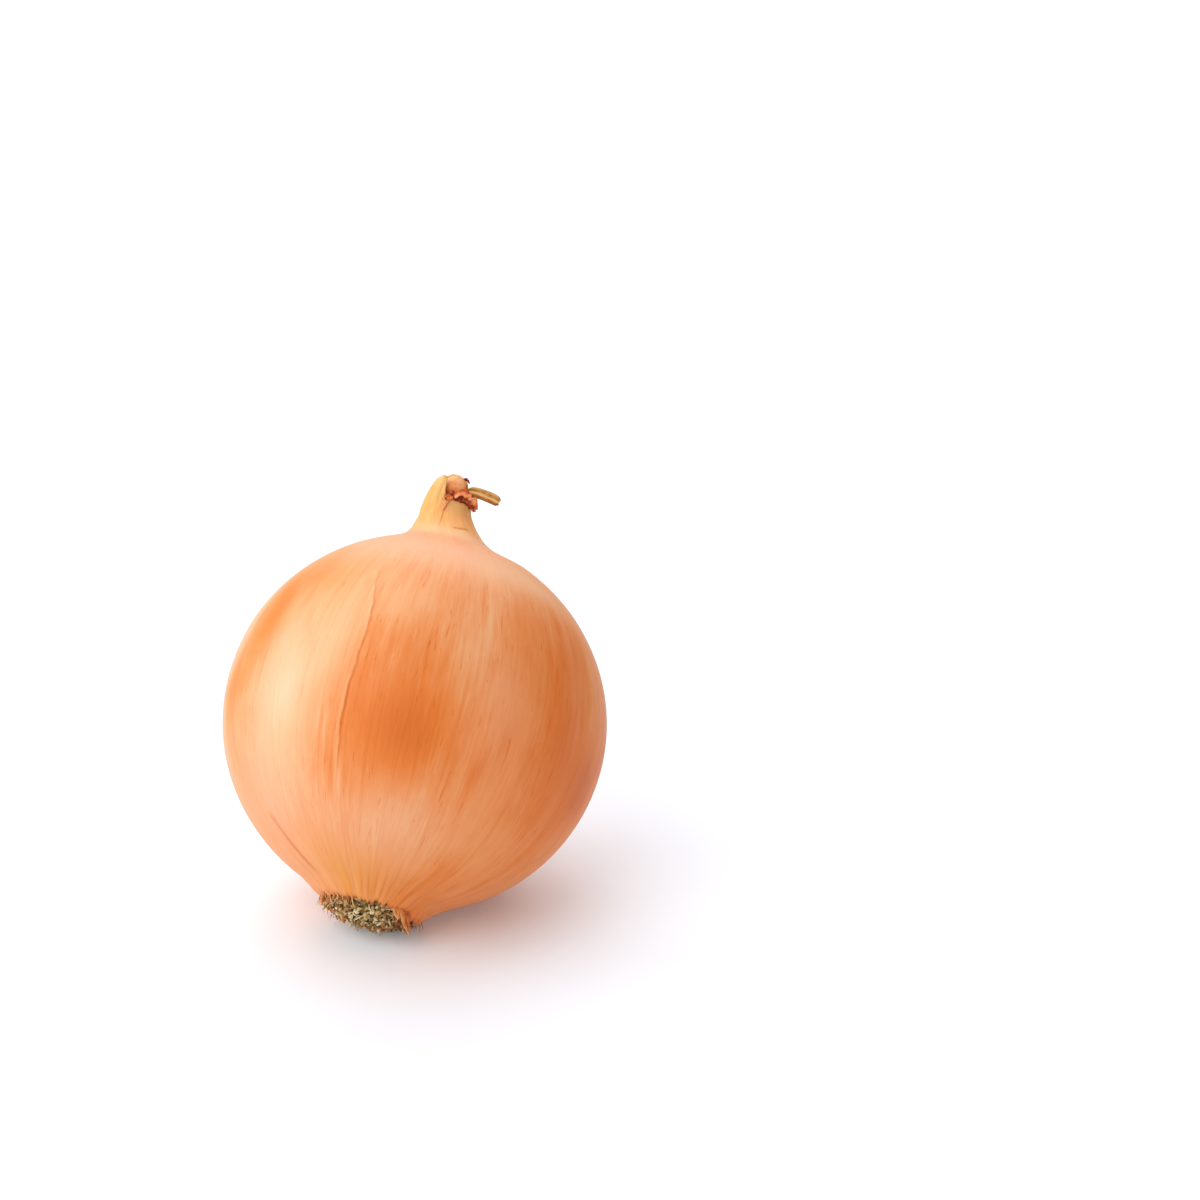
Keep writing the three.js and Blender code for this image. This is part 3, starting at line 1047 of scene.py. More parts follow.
    def rings(self, angles: Array) -> RingStack:
        """Points of the whole skin, ring by ring.

        Args:
            angles: Degrees of the columns.

        Returns:
            The rings, from the seat of the roots round the outside to the mouth's floor.
        """
        stack = RingStack()
        rim = FORM.rim_z + self.rim_teeth(angles)
        inner = FORM.rim_radius - 0.25
        for share in self.rim_shares:
            height = lerp(rim, self.root_seat_z, share)
            stack.add(angles, inner - 0.35 * share, height, -2.0 * share)
        outline = FORM.globe_outline(self.globe_rows)
        travelled = length_along(outline)
        for (radius, z), way in zip(outline, travelled):
            blend = math.exp(-(way / 1.2) ** 2)
            height = z + blend * (rim - FORM.rim_z)
            angle = self.follow_split(angles, height)
            stack.add(angle, radius + self.relief(angle, height), height, way)
        start = travelled[-1]
        edge = self.mouth_edge(angles)
        for share in np.linspace(0, 1, self.neck_rows + 1)[1:]:
            z = lerp(outline[-1, 1], edge, share)
            self.add_neck(stack, angles, z, 0.0, start + self.neck_length * share)
        for share in np.linspace(1.0, 0.0, self.inner_rows):
            z = lerp(FORM.mouth_floor_z, edge - 0.05, share)
            inset = self.thickness + 0.35 * (1 - share)
            way = start + self.neck_length + self.inner_length * (1 - share)
            self.add_neck(stack, angles, z, inset, way)
        return stack

    def add_neck(self, stack: RingStack, angles: Array, z: Array, inset: float,
                 travelled: float) -> None:
        """Add one ring of the neck.

        Args:
            stack: The rings so far.
            angles: Degrees of the columns.
            z: Height at each column.
            inset: How far inside the outer face.
            travelled: Millimetres up the skin.
        """
        angle = self.follow_split(angles, z)
        depth = lerp(1.0, FORM.neck_depth_share, smoothstep(z, 35.8, 42))
        radius = FORM.neck_radius(z) + self.relief(angle, z) - inset
        points = round_axis(np.radians(angle), radius, 0.45 * z)
        most, less = self.neck_crumple
        crumple = smoothstep(z, 36, 41) * (most - less * bell(angle, *self.neck_front))
        radius = radius + crumple * roughness_at(points, 1.5, 4, 7.0)
        stack.add(angle, radius, z, travelled, FORM.neck_middle(z), depth)

    def rim_teeth(self, angle: Array) -> Array:
        """How far the skin's ragged lower edge stands off its middle height, in millimetres."""
        points = round_axis(np.radians(angle), 10, 0)
        return 0.7 * roughness_at(points, 0.7, 4, 4.0) + 0.8 - 1.6 * bell(angle, -22, 30.0)

    def paint(self, obj: Object, angle: Array, z: Array, inside: Array) -> None:
        """Store the skin's pigment on its points, painted shade and painted highlights among it.

        Args:
            obj: The skin.
            angle: Degrees round the axis at each point.
            z: Millimetres up the axis at each point.
            inside: 1 on the neck's inner face, 0 elsewhere.
        """
        place = round_axis(np.radians(angle), 30, 0.6 * z)
        drift = (1 - 0.85 * bell(angle, -95, 65.0)) * self.patch_drift
        moved = angle + 1.6 * drift * roughness_at(place, 13.0, 3, 21.0)
        lifted = z + drift * roughness_at(place, 13.0, 3, 22.0) * smoothstep(-z, -36, -28)
        stains = [patch.at(moved, lifted) for patch in self.pigment_patches]
        pigment = self.pigment_level - self.neck_pale * smoothstep(z, 34, 40) + sum(stains)
        pigment = pigment + self.layer_end(angle, z) + self.tear_stain * self.tear(angle, z)
        # painted crease shade and highlights
        pigment = pigment + sum(patch.at(angle, z) for patch in self.crease_painted_shade)
        # paler on the inner face: painted light through the thin skin
        set_attribute(obj, "pigment", pigment - self.inside_painted_light * inside)
        edge = np.exp(-(((sum(map(abs, stains)) - 0.11) / 0.06) ** 2))
        edge = np.maximum(edge, 0.7 * smoothstep(-z, 33, 37.5))
        edge = np.maximum(edge, 0.7 * smoothstep(z, 38, 41))
        set_attribute(obj, "feather", edge * (1 - 0.8 * inside))
        flap = smoothstep(z, 39.3, 40.5) * bell(angle, -70, 34.0)
        straw = smoothstep(z, 35.5, 40.0) * (0.84 - 0.12 * flap) * (1 - 0.7 * inside)
        set_attribute(obj, "straw", straw)
        for name, patches in (("blush", self.blush_patches), ("gold", self.gold_patches)):
            amount = sum(patch.at(moved, lifted) for patch in patches)
            set_attribute(obj, name, np.clip(amount, 0, self.most_stain))
        set_attribute(obj, "streak", 1 - 0.65 * smoothstep(z, 14, 33))

    def layer_end(self, angle: Array, z: Array) -> Array:
        """Pigment beside the end of the upper layer: painted shadow below its edge, pale lip on it.

        Args:
            angle: Degrees round the axis.
            z: Millimetres up the axis.

        Returns:
            What is added to the pigment.
        """
        behind = wrapped(angle - self.split_angle(z))
        level = smoothstep(z, -19, -13) * (1 - smoothstep(z, 12, 28))
        # painted shadow below the layer's edge
        shade = sum(most * np.exp(-((behind / width) ** 2)) for most, width in self.layer_painted_shadows)
        strength, width = self.layer_lip
        lip = (behind <= 0) * np.exp(-((behind / width) ** 2))
        return level * ((behind > 0) * shade - strength * lip)

    def scorch_and_shade(self, rings: Array) -> Array:
        """How scorched the points are by the torn edge and root rim, plus painted shade deep in the
        mouth.

        Args:
            rings: The skin's points, ring by ring.

        Returns:
            From 0 upwards, for each point.
        """
        edge = np.zeros(rings.shape[:2])
        last = len(self.rim_shares) + self.globe_rows + self.neck_rows
        edge[last - 2:last + 1] = np.array(self.torn_scorch)[:, None]
        # painted shade: the mouth's inside darkens below about 46 mm
        spots = roughness_at(rings[last:], 0.8, 3, 8.0)
        edge[last:] += 0.75 * (1 - smoothstep(rings[last:, :, 2] + 0.5 * spots, 45.6, 46.6))
        edge[2:4] = self.rim_scorch  # the root rim's edge, inside and outside
        return edge

    def build(self, material: Material) -> Object:
        """Make the skin.

        Args:
            material: The skin's finish.

        Returns:
            The piece.
        """
        stack = self.rings(self.base_angles())
        rings = np.array(stack.rings)
        count = rings.shape[1]
        vertices = with_ends(rings)
        z = vertices[:, 2]
        obj = own_piece("onion_skin", vertices, ring_faces(len(rings), count), material)
        angle = value_with_ends(np.array(stack.angles))
        way = value_with_ends(np.repeat(np.array(stack.along)[:, None], count, 1))
        set_attribute(obj, SKIN_COORD, round_axis(np.radians(angle), 1.0, way))
        inside = np.zeros(rings.shape[:2])
        inside[len(rings) - self.inner_rows + 1:] = 1
        self.paint(obj, angle, z, value_with_ends(inside))
        # the level wrinkle's trough is darkened too: painted shade
        scorch_and_shade = value_with_ends(self.scorch_and_shade(rings)) + 0.5 * self.wrinkle(angle, z)
        scorch_and_shade = scorch_and_shade + 0.12 * self.tear(angle, z)
        set_attribute(obj, "scorch_and_shade", np.clip(scorch_and_shade, 0, self.most_scorch_and_shade))
        set_attribute(obj, "thin", smoothstep(z, 38, 45))
        apply_nodes(obj, self.vein_tree(), {"Vein height": self.vein_height * MM})
        press_onto_table(obj)
        finish_piece(obj, "bulb")
        return obj

    def vein_tree(self) -> NodeTree:
        """Geometry Nodes that raise veins along the skin, from roots to neck.

        Returns:
            The tree, with the veins' height and spacing as named inputs.
        """
        tree, given = open_tree("raise_veins", {"Vein height": 0.00008, "Turns": 13.0, "Seed": 3.0})
        scaled = add_node(tree, "ShaderNodeVectorMath", {
            0: stored_vector(tree, SKIN_COORD),
            1: vector(tree, given["Turns"], given["Turns"], 1 / 60.0),
        }, operation="MULTIPLY")
        veins = add_node(tree, "ShaderNodeTexNoise", {
            "Vector": scaled, "W": given["Seed"], "Scale": 1.0, "Detail": 2.0, "Roughness": 0.6,
        }, noise_dimensions="4D")
        raised = calc(tree, "MULTIPLY", calc(tree, "ADD", veins, -0.5), given["Vein height"])
        offset = add_node(tree, "ShaderNodeVectorMath", {
            0: add_node(tree, "GeometryNodeInputNormal"),
            "Scale": calc(tree, "MULTIPLY", raised, 2.0),
        }, operation="SCALE")
        moved = add_node(tree, "GeometryNodeSetPosition", {
            "Geometry": given["Geometry"], "Offset": offset,
        })
        real = add_node(tree, "GeometryNodeRealizeInstances", {"Geometry": moved})
        add_node(tree, "NodeGroupOutput", {"Geometry": real})
        return tree


# ---------------- dried sheets


@dataclass(frozen=True)
class Sheet:
    """A thin dried sheet that follows a spine: a curled scale, a shred of skin or a leaf.

    Attributes:
        spine: Points along its middle, in millimetres.
        across: Direction across it at each point of the spine.
        half_width: Half widths along it, in millimetres.
        section: Its cross-section, as shares of the half width: across, and up.
        tone_along: Dark (0) to light (1) along it.
        crumple: Height of the fine unevenness, in millimetres.
        seed: Moves its unevenness.
        thickness: Thickness, in millimetres.
        ruffle: Height of the waves in its free edge, in millimetres.
        ruffle_length: Length of one wave, in millimetres.
        tone_across: Added to the tone across it.
        stations: Points along it.
        lanes: Points across it.
    """

    spine: tuple[Triple, ...]
    across: tuple[Triple, ...]
    half_width: tuple[float, ...]
    section: tuple[Pair, ...]
    tone_along: tuple[float, ...]
    crumple: float
    seed: float
    thickness: float = 0.16
    ruffle: float = 0.0
    ruffle_length: float = 1.5
    tone_across: tuple[float, ...] = (0.0, 0.0)
    stations: int = 64
    lanes: int = 22

    def middle_surface(self) -> Array:
        """Points halfway through the sheet.

        Returns:
            The points, by station and lane.
        """
        centre = curve_through(self.spine, self.stations)
        way = np.gradient(centre, axis=0)
        step = np.linalg.norm(way, axis=1)
        way = way / step[:, None]
        side = curve_through(self.across, self.stations)
        side = side - (side * way).sum(1)[:, None] * way
        side = side / np.linalg.norm(side, axis=1)[:, None]
        up = np.cross(way, side)
        width = profile(self.half_width, self.stations)
        shape = curve_through(self.section, self.lanes)
        points = (centre[:, None] + width[:, :, None] * shape[None, :, :1] * side[:, None]
                  + width[:, :, None] * shape[None, :, 1:] * up[:, None])
        length = np.cumsum(step)[:, None]
        free = smoothstep(shape[:, 0], -0.4, 1.0)[None]
        phase = 2 * np.pi * length / self.ruffle_length
        wave = self.ruffle * free * np.sin(phase + 1.1 * np.sin(0.37 * phase + self.seed))
        rough = self.crumple * roughness_at(points, 0.9, 3, self.seed)
        return points + (wave + rough)[..., None] * up[:, None]

    def build(self) -> tuple[Array, Faces, Array]:
        """Make the closed sheet.

        Returns:
            Its points, its faces and the tone of each point.
        """
        middle = self.middle_surface()
        along = np.gradient(middle, axis=0)
        out = np.cross(along, np.gradient(middle, axis=1))
        out = out / np.maximum(np.linalg.norm(out, axis=2, keepdims=True), 1e-9)
        margin = np.minimum(np.linspace(0, 1, self.lanes), np.linspace(1, 0, self.lanes))
        thick = self.thickness * lerp(0.35, 1.0, smoothstep(margin, 0.0, 0.12))[None, :, None]
        count = self.stations * self.lanes
        vertices = np.vstack([(middle + out * thick / 2).reshape(-1, 3),
                              (middle - out * thick / 2).reshape(-1, 3)])
        top = np.arange(count).reshape(self.stations, self.lanes)
        grids = [(top, False), (top + count, True)]
        sides = [(top[:, 0], False), (top[:, -1], True), (top[0], True), (top[-1], False)]
        corners = [((g[:-1, :-1], g[1:, :-1], g[1:, 1:], g[:-1, 1:]), flip) for g, flip in grids]
        corners += [((s[:-1], s[:-1] + count, s[1:] + count, s[1:]), flip) for s, flip in sides]
        faces = []
        for four, flip in corners:
            quads = np.stack(four, -1).reshape(-1, 4)
            faces += (quads[:, ::-1] if flip else quads).tolist()
        tone = profile(self.tone_along, self.stations) + profile(self.tone_across, self.lanes).T
        tone = tone + 0.12 * roughness_at(middle, 0.6, 2, self.seed + 3)
        return vertices, faces, np.tile(tone.ravel(), 2)


def own_sheets(name: str, sheets: Sequence[Sheet], material: Material) -> Object:
    """Make one piece of several dried sheets.

    Args:
        name: The piece's name.
        sheets: The sheets.
        material: The piece's finish.

    Returns:
        The piece, with the tone of each point stored on it.
    """
    built = [sheet.build() for sheet in sheets]
    offsets = np.cumsum([0] + [len(vertices) for vertices, _, _ in built])
    faces = [[i + offset for i in face] for (_, part, _), offset in zip(built, offsets)
             for face in part]
    obj = own_piece(name, np.vstack([v for v, _, _ in built]), faces, material)
    set_attribute(obj, "tone", np.concatenate([t for _, _, t in built]))
    return obj


# ---------------- strands


@dataclass(frozen=True)
class StrandRule:
    """How strands grow out of a surface: how many, how long, how thick and how crooked.

    Attributes:
        spacing: Least distance between two strands, in millimetres.
        density: Strands to a square millimetre, before the spacing thins them.
        shortest: Least length, in millimetres.
        longest: Greatest length, in millimetres.
        radius: Radius at the foot, in millimetres.
        tip: Radius at the tip, as a share of that at the foot.
        crooked: How far a strand wanders sideways, in millimetres.
        lean: How far strands lean away from their growing direction, in degrees.
        seed: Random seed.
        flat: Height of the section as a share of its width.
        sides: Sides of the section.
        points: Points along a strand.
    """

    spacing: float
    density: float
    shortest: float
    longest: float
    radius: float
    tip: float
    crooked: float
    lean: float
    seed: int
    flat: float = 1.0
    sides: int = 7
    points: int = 5

    def values(self) -> dict[str, float]:
        """The tree's named inputs, in metres and radians."""
        return {
            "Spacing": self.spacing * MM,
            "Density": self.density / MM**2,
            "Shortest": self.shortest * MM,
            "Longest": self.longest * MM,
            "Radius": self.radius * MM,
            "Tip": self.tip,
            "Flat": self.flat,
            "Crooked": self.crooked * MM,
            "Lean": math.radians(self.lean),
            "Seed": self.seed,
        }

    def tree(self, material: Material) -> NodeTree:
        """Geometry Nodes that grow the strands along the surface's "grow" directions.

        Args:
            material: The strands' finish.

        Returns:
            The tree. Its output is the strands alone, each with its own random tone.
        """
        tree, given = open_tree("grow_strands", {k: type(v)(0) for k, v in self.values().items()})
        spots = add_node(tree, "GeometryNodeDistributePointsOnFaces", {
            "Mesh": given["Geometry"], "Distance Min": given["Spacing"],
            "Density Max": given["Density"], "Density Factor": 1.0, "Seed": given["Seed"],
        }, distribute_method="POISSON")
        placed = add_node(tree, "GeometryNodeInstanceOnPoints", {
            "Points": spots,
            "Instance": add_node(tree, "GeometryNodeResampleCurve", {
                "Curve": add_node(tree, "GeometryNodeCurvePrimitiveLine", {"End": (0.0, 0.0, 1.0)}),
                "Count": self.points,
            }),
            "Rotation": self.facing(tree, given),
            "Scale": vector(tree, 1.0, 1.0, random_between(
                tree, given["Shortest"], given["Longest"], 14)),
        })
        toned = add_node(tree, "GeometryNodeStoreNamedAttribute", {
            "Geometry": placed, "Name": "tone", "Value": random_between(tree, 0.0, 1.0, 15),
        }, data_type="FLOAT", domain="INSTANCE")
        real = add_node(tree, "GeometryNodeRealizeInstances", {"Geometry": toned})
        swept = self.sweep(tree, given, self.bend(tree, given, real))
        smooth = add_node(tree, "GeometryNodeSetShadeSmooth", {"Geometry": swept})
        done = add_node(tree, "GeometryNodeSetMaterial", {
            "Geometry": smooth, "Material": material,
        })
        add_node(tree, "NodeGroupOutput", {"Geometry": done})
        return tree

    @staticmethod
    def facing(tree: NodeTree, given: Sockets) -> Node:
        """Turn each strand along its growing direction, with a random lean and spin.

        Args:
            tree: The tree.
            given: The tree's inputs.

        Returns:
            The node that gives the rotation.
        """
        leaning = [
            random_between(tree, calc(tree, "MULTIPLY", given["Lean"], -1.0), given["Lean"], seed)
            for seed in (11, 12)
        ]
        angles = vector(tree, *leaning, random_between(tree, 0.0, 2 * math.pi, 13))
        return add_node(tree, "FunctionNodeRotateRotation", {
            "Rotation": add_node(tree, "FunctionNodeAlignRotationToVector", {
                "Vector": stored_vector(tree, "grow"),
            }, axis="Z"),
            "Rotate By": add_node(tree, "FunctionNodeEulerToRotation", {"Euler": angles}),
        }, rotation_space="LOCAL")

    @staticmethod
    def bend(tree: NodeTree, given: Sockets, lines: Node) -> Node:
        """Make the strands wander sideways, more towards their tips.

        Args:
            tree: The tree.
            given: The tree's inputs.
            lines: The strands' middle lines.

        Returns:
            The node that gives the bent lines.
        """
        wander = noise_at(tree, add_node(tree, "GeometryNodeInputPosition"), 0.55 / MM, 1.0)
        centred = add_node(tree, "ShaderNodeVectorMath", {
            0: wander.outputs["Color"], 1: (0.5, 0.5, 0.5),
        }, operation="SUBTRACT")
        factor = add_node(tree, "GeometryNodeSplineParameter").outputs["Factor"]
        amount = calc(tree, "MULTIPLY", factor, given["Crooked"])
        offset = add_node(tree, "ShaderNodeVectorMath", {
            0: centred, "Scale": calc(tree, "MULTIPLY", amount, 4.0),
        }, operation="SCALE")
        return add_node(tree, "GeometryNodeSetPosition", {"Geometry": lines, "Offset": offset})

    def sweep(self, tree: NodeTree, given: Sockets, lines: Node) -> Node:
        """Give the strands their tapered, knobbly, closed section.

        Args:
            tree: The tree.
            given: The tree's inputs.
            lines: The strands' middle lines.

        Returns:
            The node that gives the strands' surface.
        """
        factor = add_node(tree, "GeometryNodeSplineParameter").outputs["Factor"]
        width = calc(tree, "MULTIPLY", remap(tree, factor, 0.0, 1.0, 1.0, given["Tip"]),
                     given["Radius"])
        knobs = noise_at(tree, add_node(tree, "GeometryNodeInputPosition"), 1.3 / MM, 0.0)
        uneven = remap(tree, knobs, 0.25, 0.75, 0.6, 1.4)
        section = add_node(tree, "GeometryNodeTransform", {
            "Geometry": add_node(tree, "GeometryNodeCurvePrimitiveCircle", {
                "Resolution": self.sides, "Radius": 1.0,
            }),
            "Scale": vector(tree, 1.0, given["Flat"], 1.0),
        })
        return add_node(tree, "GeometryNodeCurveToMesh", {
            "Curve": lines, "Profile Curve": section,
            "Scale": calc(tree, "MULTIPLY", width, uneven), "Fill Caps": True,
        })

    def grow(self, obj: Object, material: Material) -> None:
        """Turn an emitting surface into the strands that grow on it.

        Args:
            obj: The surface, with its "grow" directions. It becomes the strands.
            material: The strands' finish.
        """
        apply_nodes(obj, self.tree(material), self.values())
        press_onto_table(obj)


# ---------------- root crown


@dataclass
class RootCrown:
    """The stem plate with its cut roots, its loose fibres and the frayed end of the skin."""

    plate_radius: float = 9.5
    dome_radius: float = 9.2
    seat_z: float = -36.0
    dome_start_z: float = -37.2
    dome_tip_z: float = -40.6
    pinch: float = 1.0  # millimetres by which the right side is drawn in
    lumps: float = 0.4  # millimetres
    root_slope: float = 0.09  # how far roots lean out, for each millimetre from the axis
    fray_slope: float = -0.022
    fray_levels: tuple[Pair, ...] = ((9.85, -37.6), (10.05, -37.1), (10.3, -36.6))
    bare_places: tuple[Triple, ...] = (
        # where the rim doesn't fray: middle and half width in degrees, and how bare
        (-88.0, 30.0, 1.0), (-14.0, 24.0, 0.8),
    )
    # front of the crown, painted lighter and less tinted: painted light where it faces the lamps
    painted_lit_front: Pair = (-92.0, 34.0)  # middle and half width in degrees
    root_tone: tuple[float, ...] = (
        # the least, a share of each strand's own, what the painted light at the front adds, and speckle
        0.08, 0.80, 0.40, 0.12,
    )
    stubs: StrandRule = StrandRule(
        spacing=0.66, density=3.6, shortest=0.4, longest=1.35, radius=0.44, tip=0.8,
        crooked=0.4, lean=55.0, seed=4,
    )
    crumbs: StrandRule = StrandRule(
        spacing=0.8, density=2.0, shortest=0.8, longest=1.9, radius=0.25, tip=0.6,
        crooked=0.6, lean=75.0, sides=6, seed=9,
    )
    fibres: StrandRule = StrandRule(
        spacing=0.9, density=0.4, shortest=1.0, longest=2.6, radius=0.085, tip=0.5,
        crooked=0.9, lean=60.0, sides=5, points=7, seed=21,
    )
    frays: StrandRule = StrandRule(
        spacing=0.27, density=8.0, shortest=0.4, longest=2.5, radius=0.12, tip=0.3,
        flat=0.5, crooked=0.6, lean=38.0, sides=5, points=6, seed=31,
    )

    def plate_rings(self, lift: float) -> Array:
        """Rings of the stem plate's dome.

        Args:
            lift: How far outside the dome's own surface, in millimetres.

        Returns:
            The rings, from the seat down to near the tip.
        """
        angle = np.linspace(0, 2 * np.pi, 96, endpoint=False)
        rings = []
        for z in np.linspace(self.seat_z, self.dome_start_z, 4):
            share = (self.seat_z - z) / (self.seat_z - self.dome_start_z)
            rings.append((lerp(self.plate_radius, self.dome_radius, share), z))
        for bend in np.radians(np.linspace(8, 88, 22)):
            rings.append((self.dome_radius * math.cos(bend),
                          self.dome_start_z
                          + (self.dome_tip_z - self.dome_start_z) * math.sin(bend)))
        side = bell(np.degrees(angle), -15, 50.0)
        points = np.array([
            round_axis(angle, r + lift - self.pinch * side * r / 9, z - lift) for r, z in rings
        ])
        lumps = self.lumps * roughness_at(points, 1.7, 4, 6.0)
        points[4:, :, 2] += lumps[4:]
        return points

    def emitter(self, name: str, material: Material, lift: float) -> Object:
        """A surface over the plate with the directions in which roots grow.

        Args:
            name: The piece's name.
            material: The strands' finish.
            lift: How far outside the plate, in millimetres.

        Returns:
            The open surface.
        """
        rings = self.plate_rings(lift)[3:]
        flat = rings.reshape(-1, 3)
        obj = own_piece(name, flat, band_faces(*rings.shape[:2]), material)
        set_growth(obj, flat, self.root_slope)
        return obj

    def plate(self, material: Material) -> Object:
        """The stem plate itself, dark between the roots.

        Args:
            material: Its finish.

        Returns:
            The piece.
        """
        rings = self.plate_rings(0.0)
        vertices = with_ends(rings)
        faces = [f[::-1] for f in ring_faces(*rings.shape[:2])]
        obj = own_piece("root_plate", vertices, faces, material)
        set_attribute(obj, "tone", 0.18 + 0.25 * roughness_at(vertices, 0.8, 2, 3.0))
        press_onto_table(obj)
        return obj

    def paint_front_light(self, obj: Object) -> None:
        """Paint the front roots lighter and less tinted, as painted light; the rest stay warm and dark.

        Args:
            obj: The strands, with their "tone".
        """
        back = np.array(FORM.matrix().inverted())
        own = read_points(obj) @ back[:3, :3].T + back[:3, 3]
        front = bell(np.degrees(np.arctan2(own[:, 1], own[:, 0])), *self.painted_lit_front)
        tone = np.empty(len(own))
        obj.data.attributes["tone"].data.foreach_get("value", tone)
        speckle = roughness_at(own / MM, 2.4, 2, 12.0)  # so fine that each point has its own
        base, of_strand, at_front, speckled = self.root_tone
        tone = base + of_strand * tone + at_front * front + speckled * speckle
        set_attribute(obj, "tone", np.clip(tone, 0, 1))
        set_attribute(obj, "warm", np.clip(1 - 1.1 * front, 0, 1))

    def rim_band(self, material: Material) -> Object:
        """The band of skin at the rim that frays, with the directions of its fibres.

        Args:
            material: The fibres' finish.

        Returns:
            The open surface.
        """
        angle = np.linspace(0, 2 * np.pi, 180, endpoint=False)
        rings = np.array([round_axis(angle, r, z) for r, z in self.fray_levels])
        flat = rings.reshape(-1, 3)
        bare = sum(most * bell(np.degrees(angle), middle, width)
                   for middle, width, most in self.bare_places)
        tufts = roughness_at(rings[0], 1.6, 2, 15.0) - 0.9 * bare > -0.45
        faces = [face[::-1] for place, face in enumerate(band_faces(*rings.shape[:2]))
                 if tufts[place % len(angle)]]
        obj = own_piece("skin_frays", flat, faces, material)
        set_growth(obj, flat, self.fray_slope)
        return obj

    def flaps(self) -> list[Sheet]:
        """Dried tongues of skin that hang over the roots at the right and the left."""
        return [
            Sheet(  # the long tongue at the right
                spine=((6.6, -7.0, -36.3), (7.3, -7.7, -38.2), (8.1, -7.0, -40.0),
                       (8.7, -6.1, -41.3)),
                across=((0.55, 0.8, 0.0), (0.6, 0.75, 0.0), (0.7, 0.7, 0.1), (0.7, 0.7, 0.2)),
                half_width=(1.7, 1.35, 0.75, 0.2),
                section=((-1, -0.1), (-0.5, 0.16), (0, 0.05), (0.5, 0.22), (1, -0.15)),
                crumple=0.16, tone_along=(0.35, 0.35, 0.35, 0.55), tone_across=(0.15, -0.15, 0.05),
                seed=2.0,
            ),
            Sheet(  # a fold beside it
                spine=((5.0, -8.2, -36.4), (5.5, -8.7, -38.0), (6.2, -8.2, -39.2)),
                across=((0.9, 0.4, 0.0), (0.9, 0.4, 0.1), (0.8, 0.5, 0.3)),
                half_width=(0.9, 0.6, 0.2),
                section=((-1, 0), (-0.4, 0.3), (0.2, 0.0), (1, 0.3)),
                crumple=0.14, tone_along=(0.5, 0.5, 0.7), seed=3.0,
            ),
            Sheet(  # the thick folds at the left
                spine=((-8.8, -3.8, -36.3), (-9.4, -4.0, -37.8), (-9.2, -3.9, -39.2)),
                across=((0.4, -0.9, 0.0), (0.4, -0.9, 0.0), (0.5, -0.85, 0.1)),
                half_width=(0.8, 0.6, 0.2),
                section=((-1, 0), (-0.5, 0.28), (0, 0.0), (0.5, 0.28), (1, 0)),
                crumple=0.14, tone_along=(0.3, 0.3, 0.4), seed=4.0,
            ),
        ]

    def build(self, root_finish: Material, shred_finish: Material) -> None:
        """Make the crown's pieces.

        Args:
            root_finish: Finish of the plate and the roots.
            shred_finish: Finish of the frayed skin.
        """
        pieces = [self.plate(root_finish)]
        for name, rule, lift in (("root_stubs", self.stubs, -0.35),
                                 ("root_crumbs", self.crumbs, -0.2),
                                 ("root_fibres", self.fibres, -0.1)):
            strands = self.emitter(name, root_finish, lift)
            rule.grow(strands, root_finish)
            self.paint_front_light(strands)
            pieces.append(strands)
        frays = self.rim_band(shred_finish)
        self.frays.grow(frays, shred_finish)
        flaps = own_sheets("skin_flaps", self.flaps(), shred_finish)
        press_onto_table(flaps)
        for piece in (*pieces, frays, flaps):
            finish_piece(piece, "root_crown")


# ---------------- neck


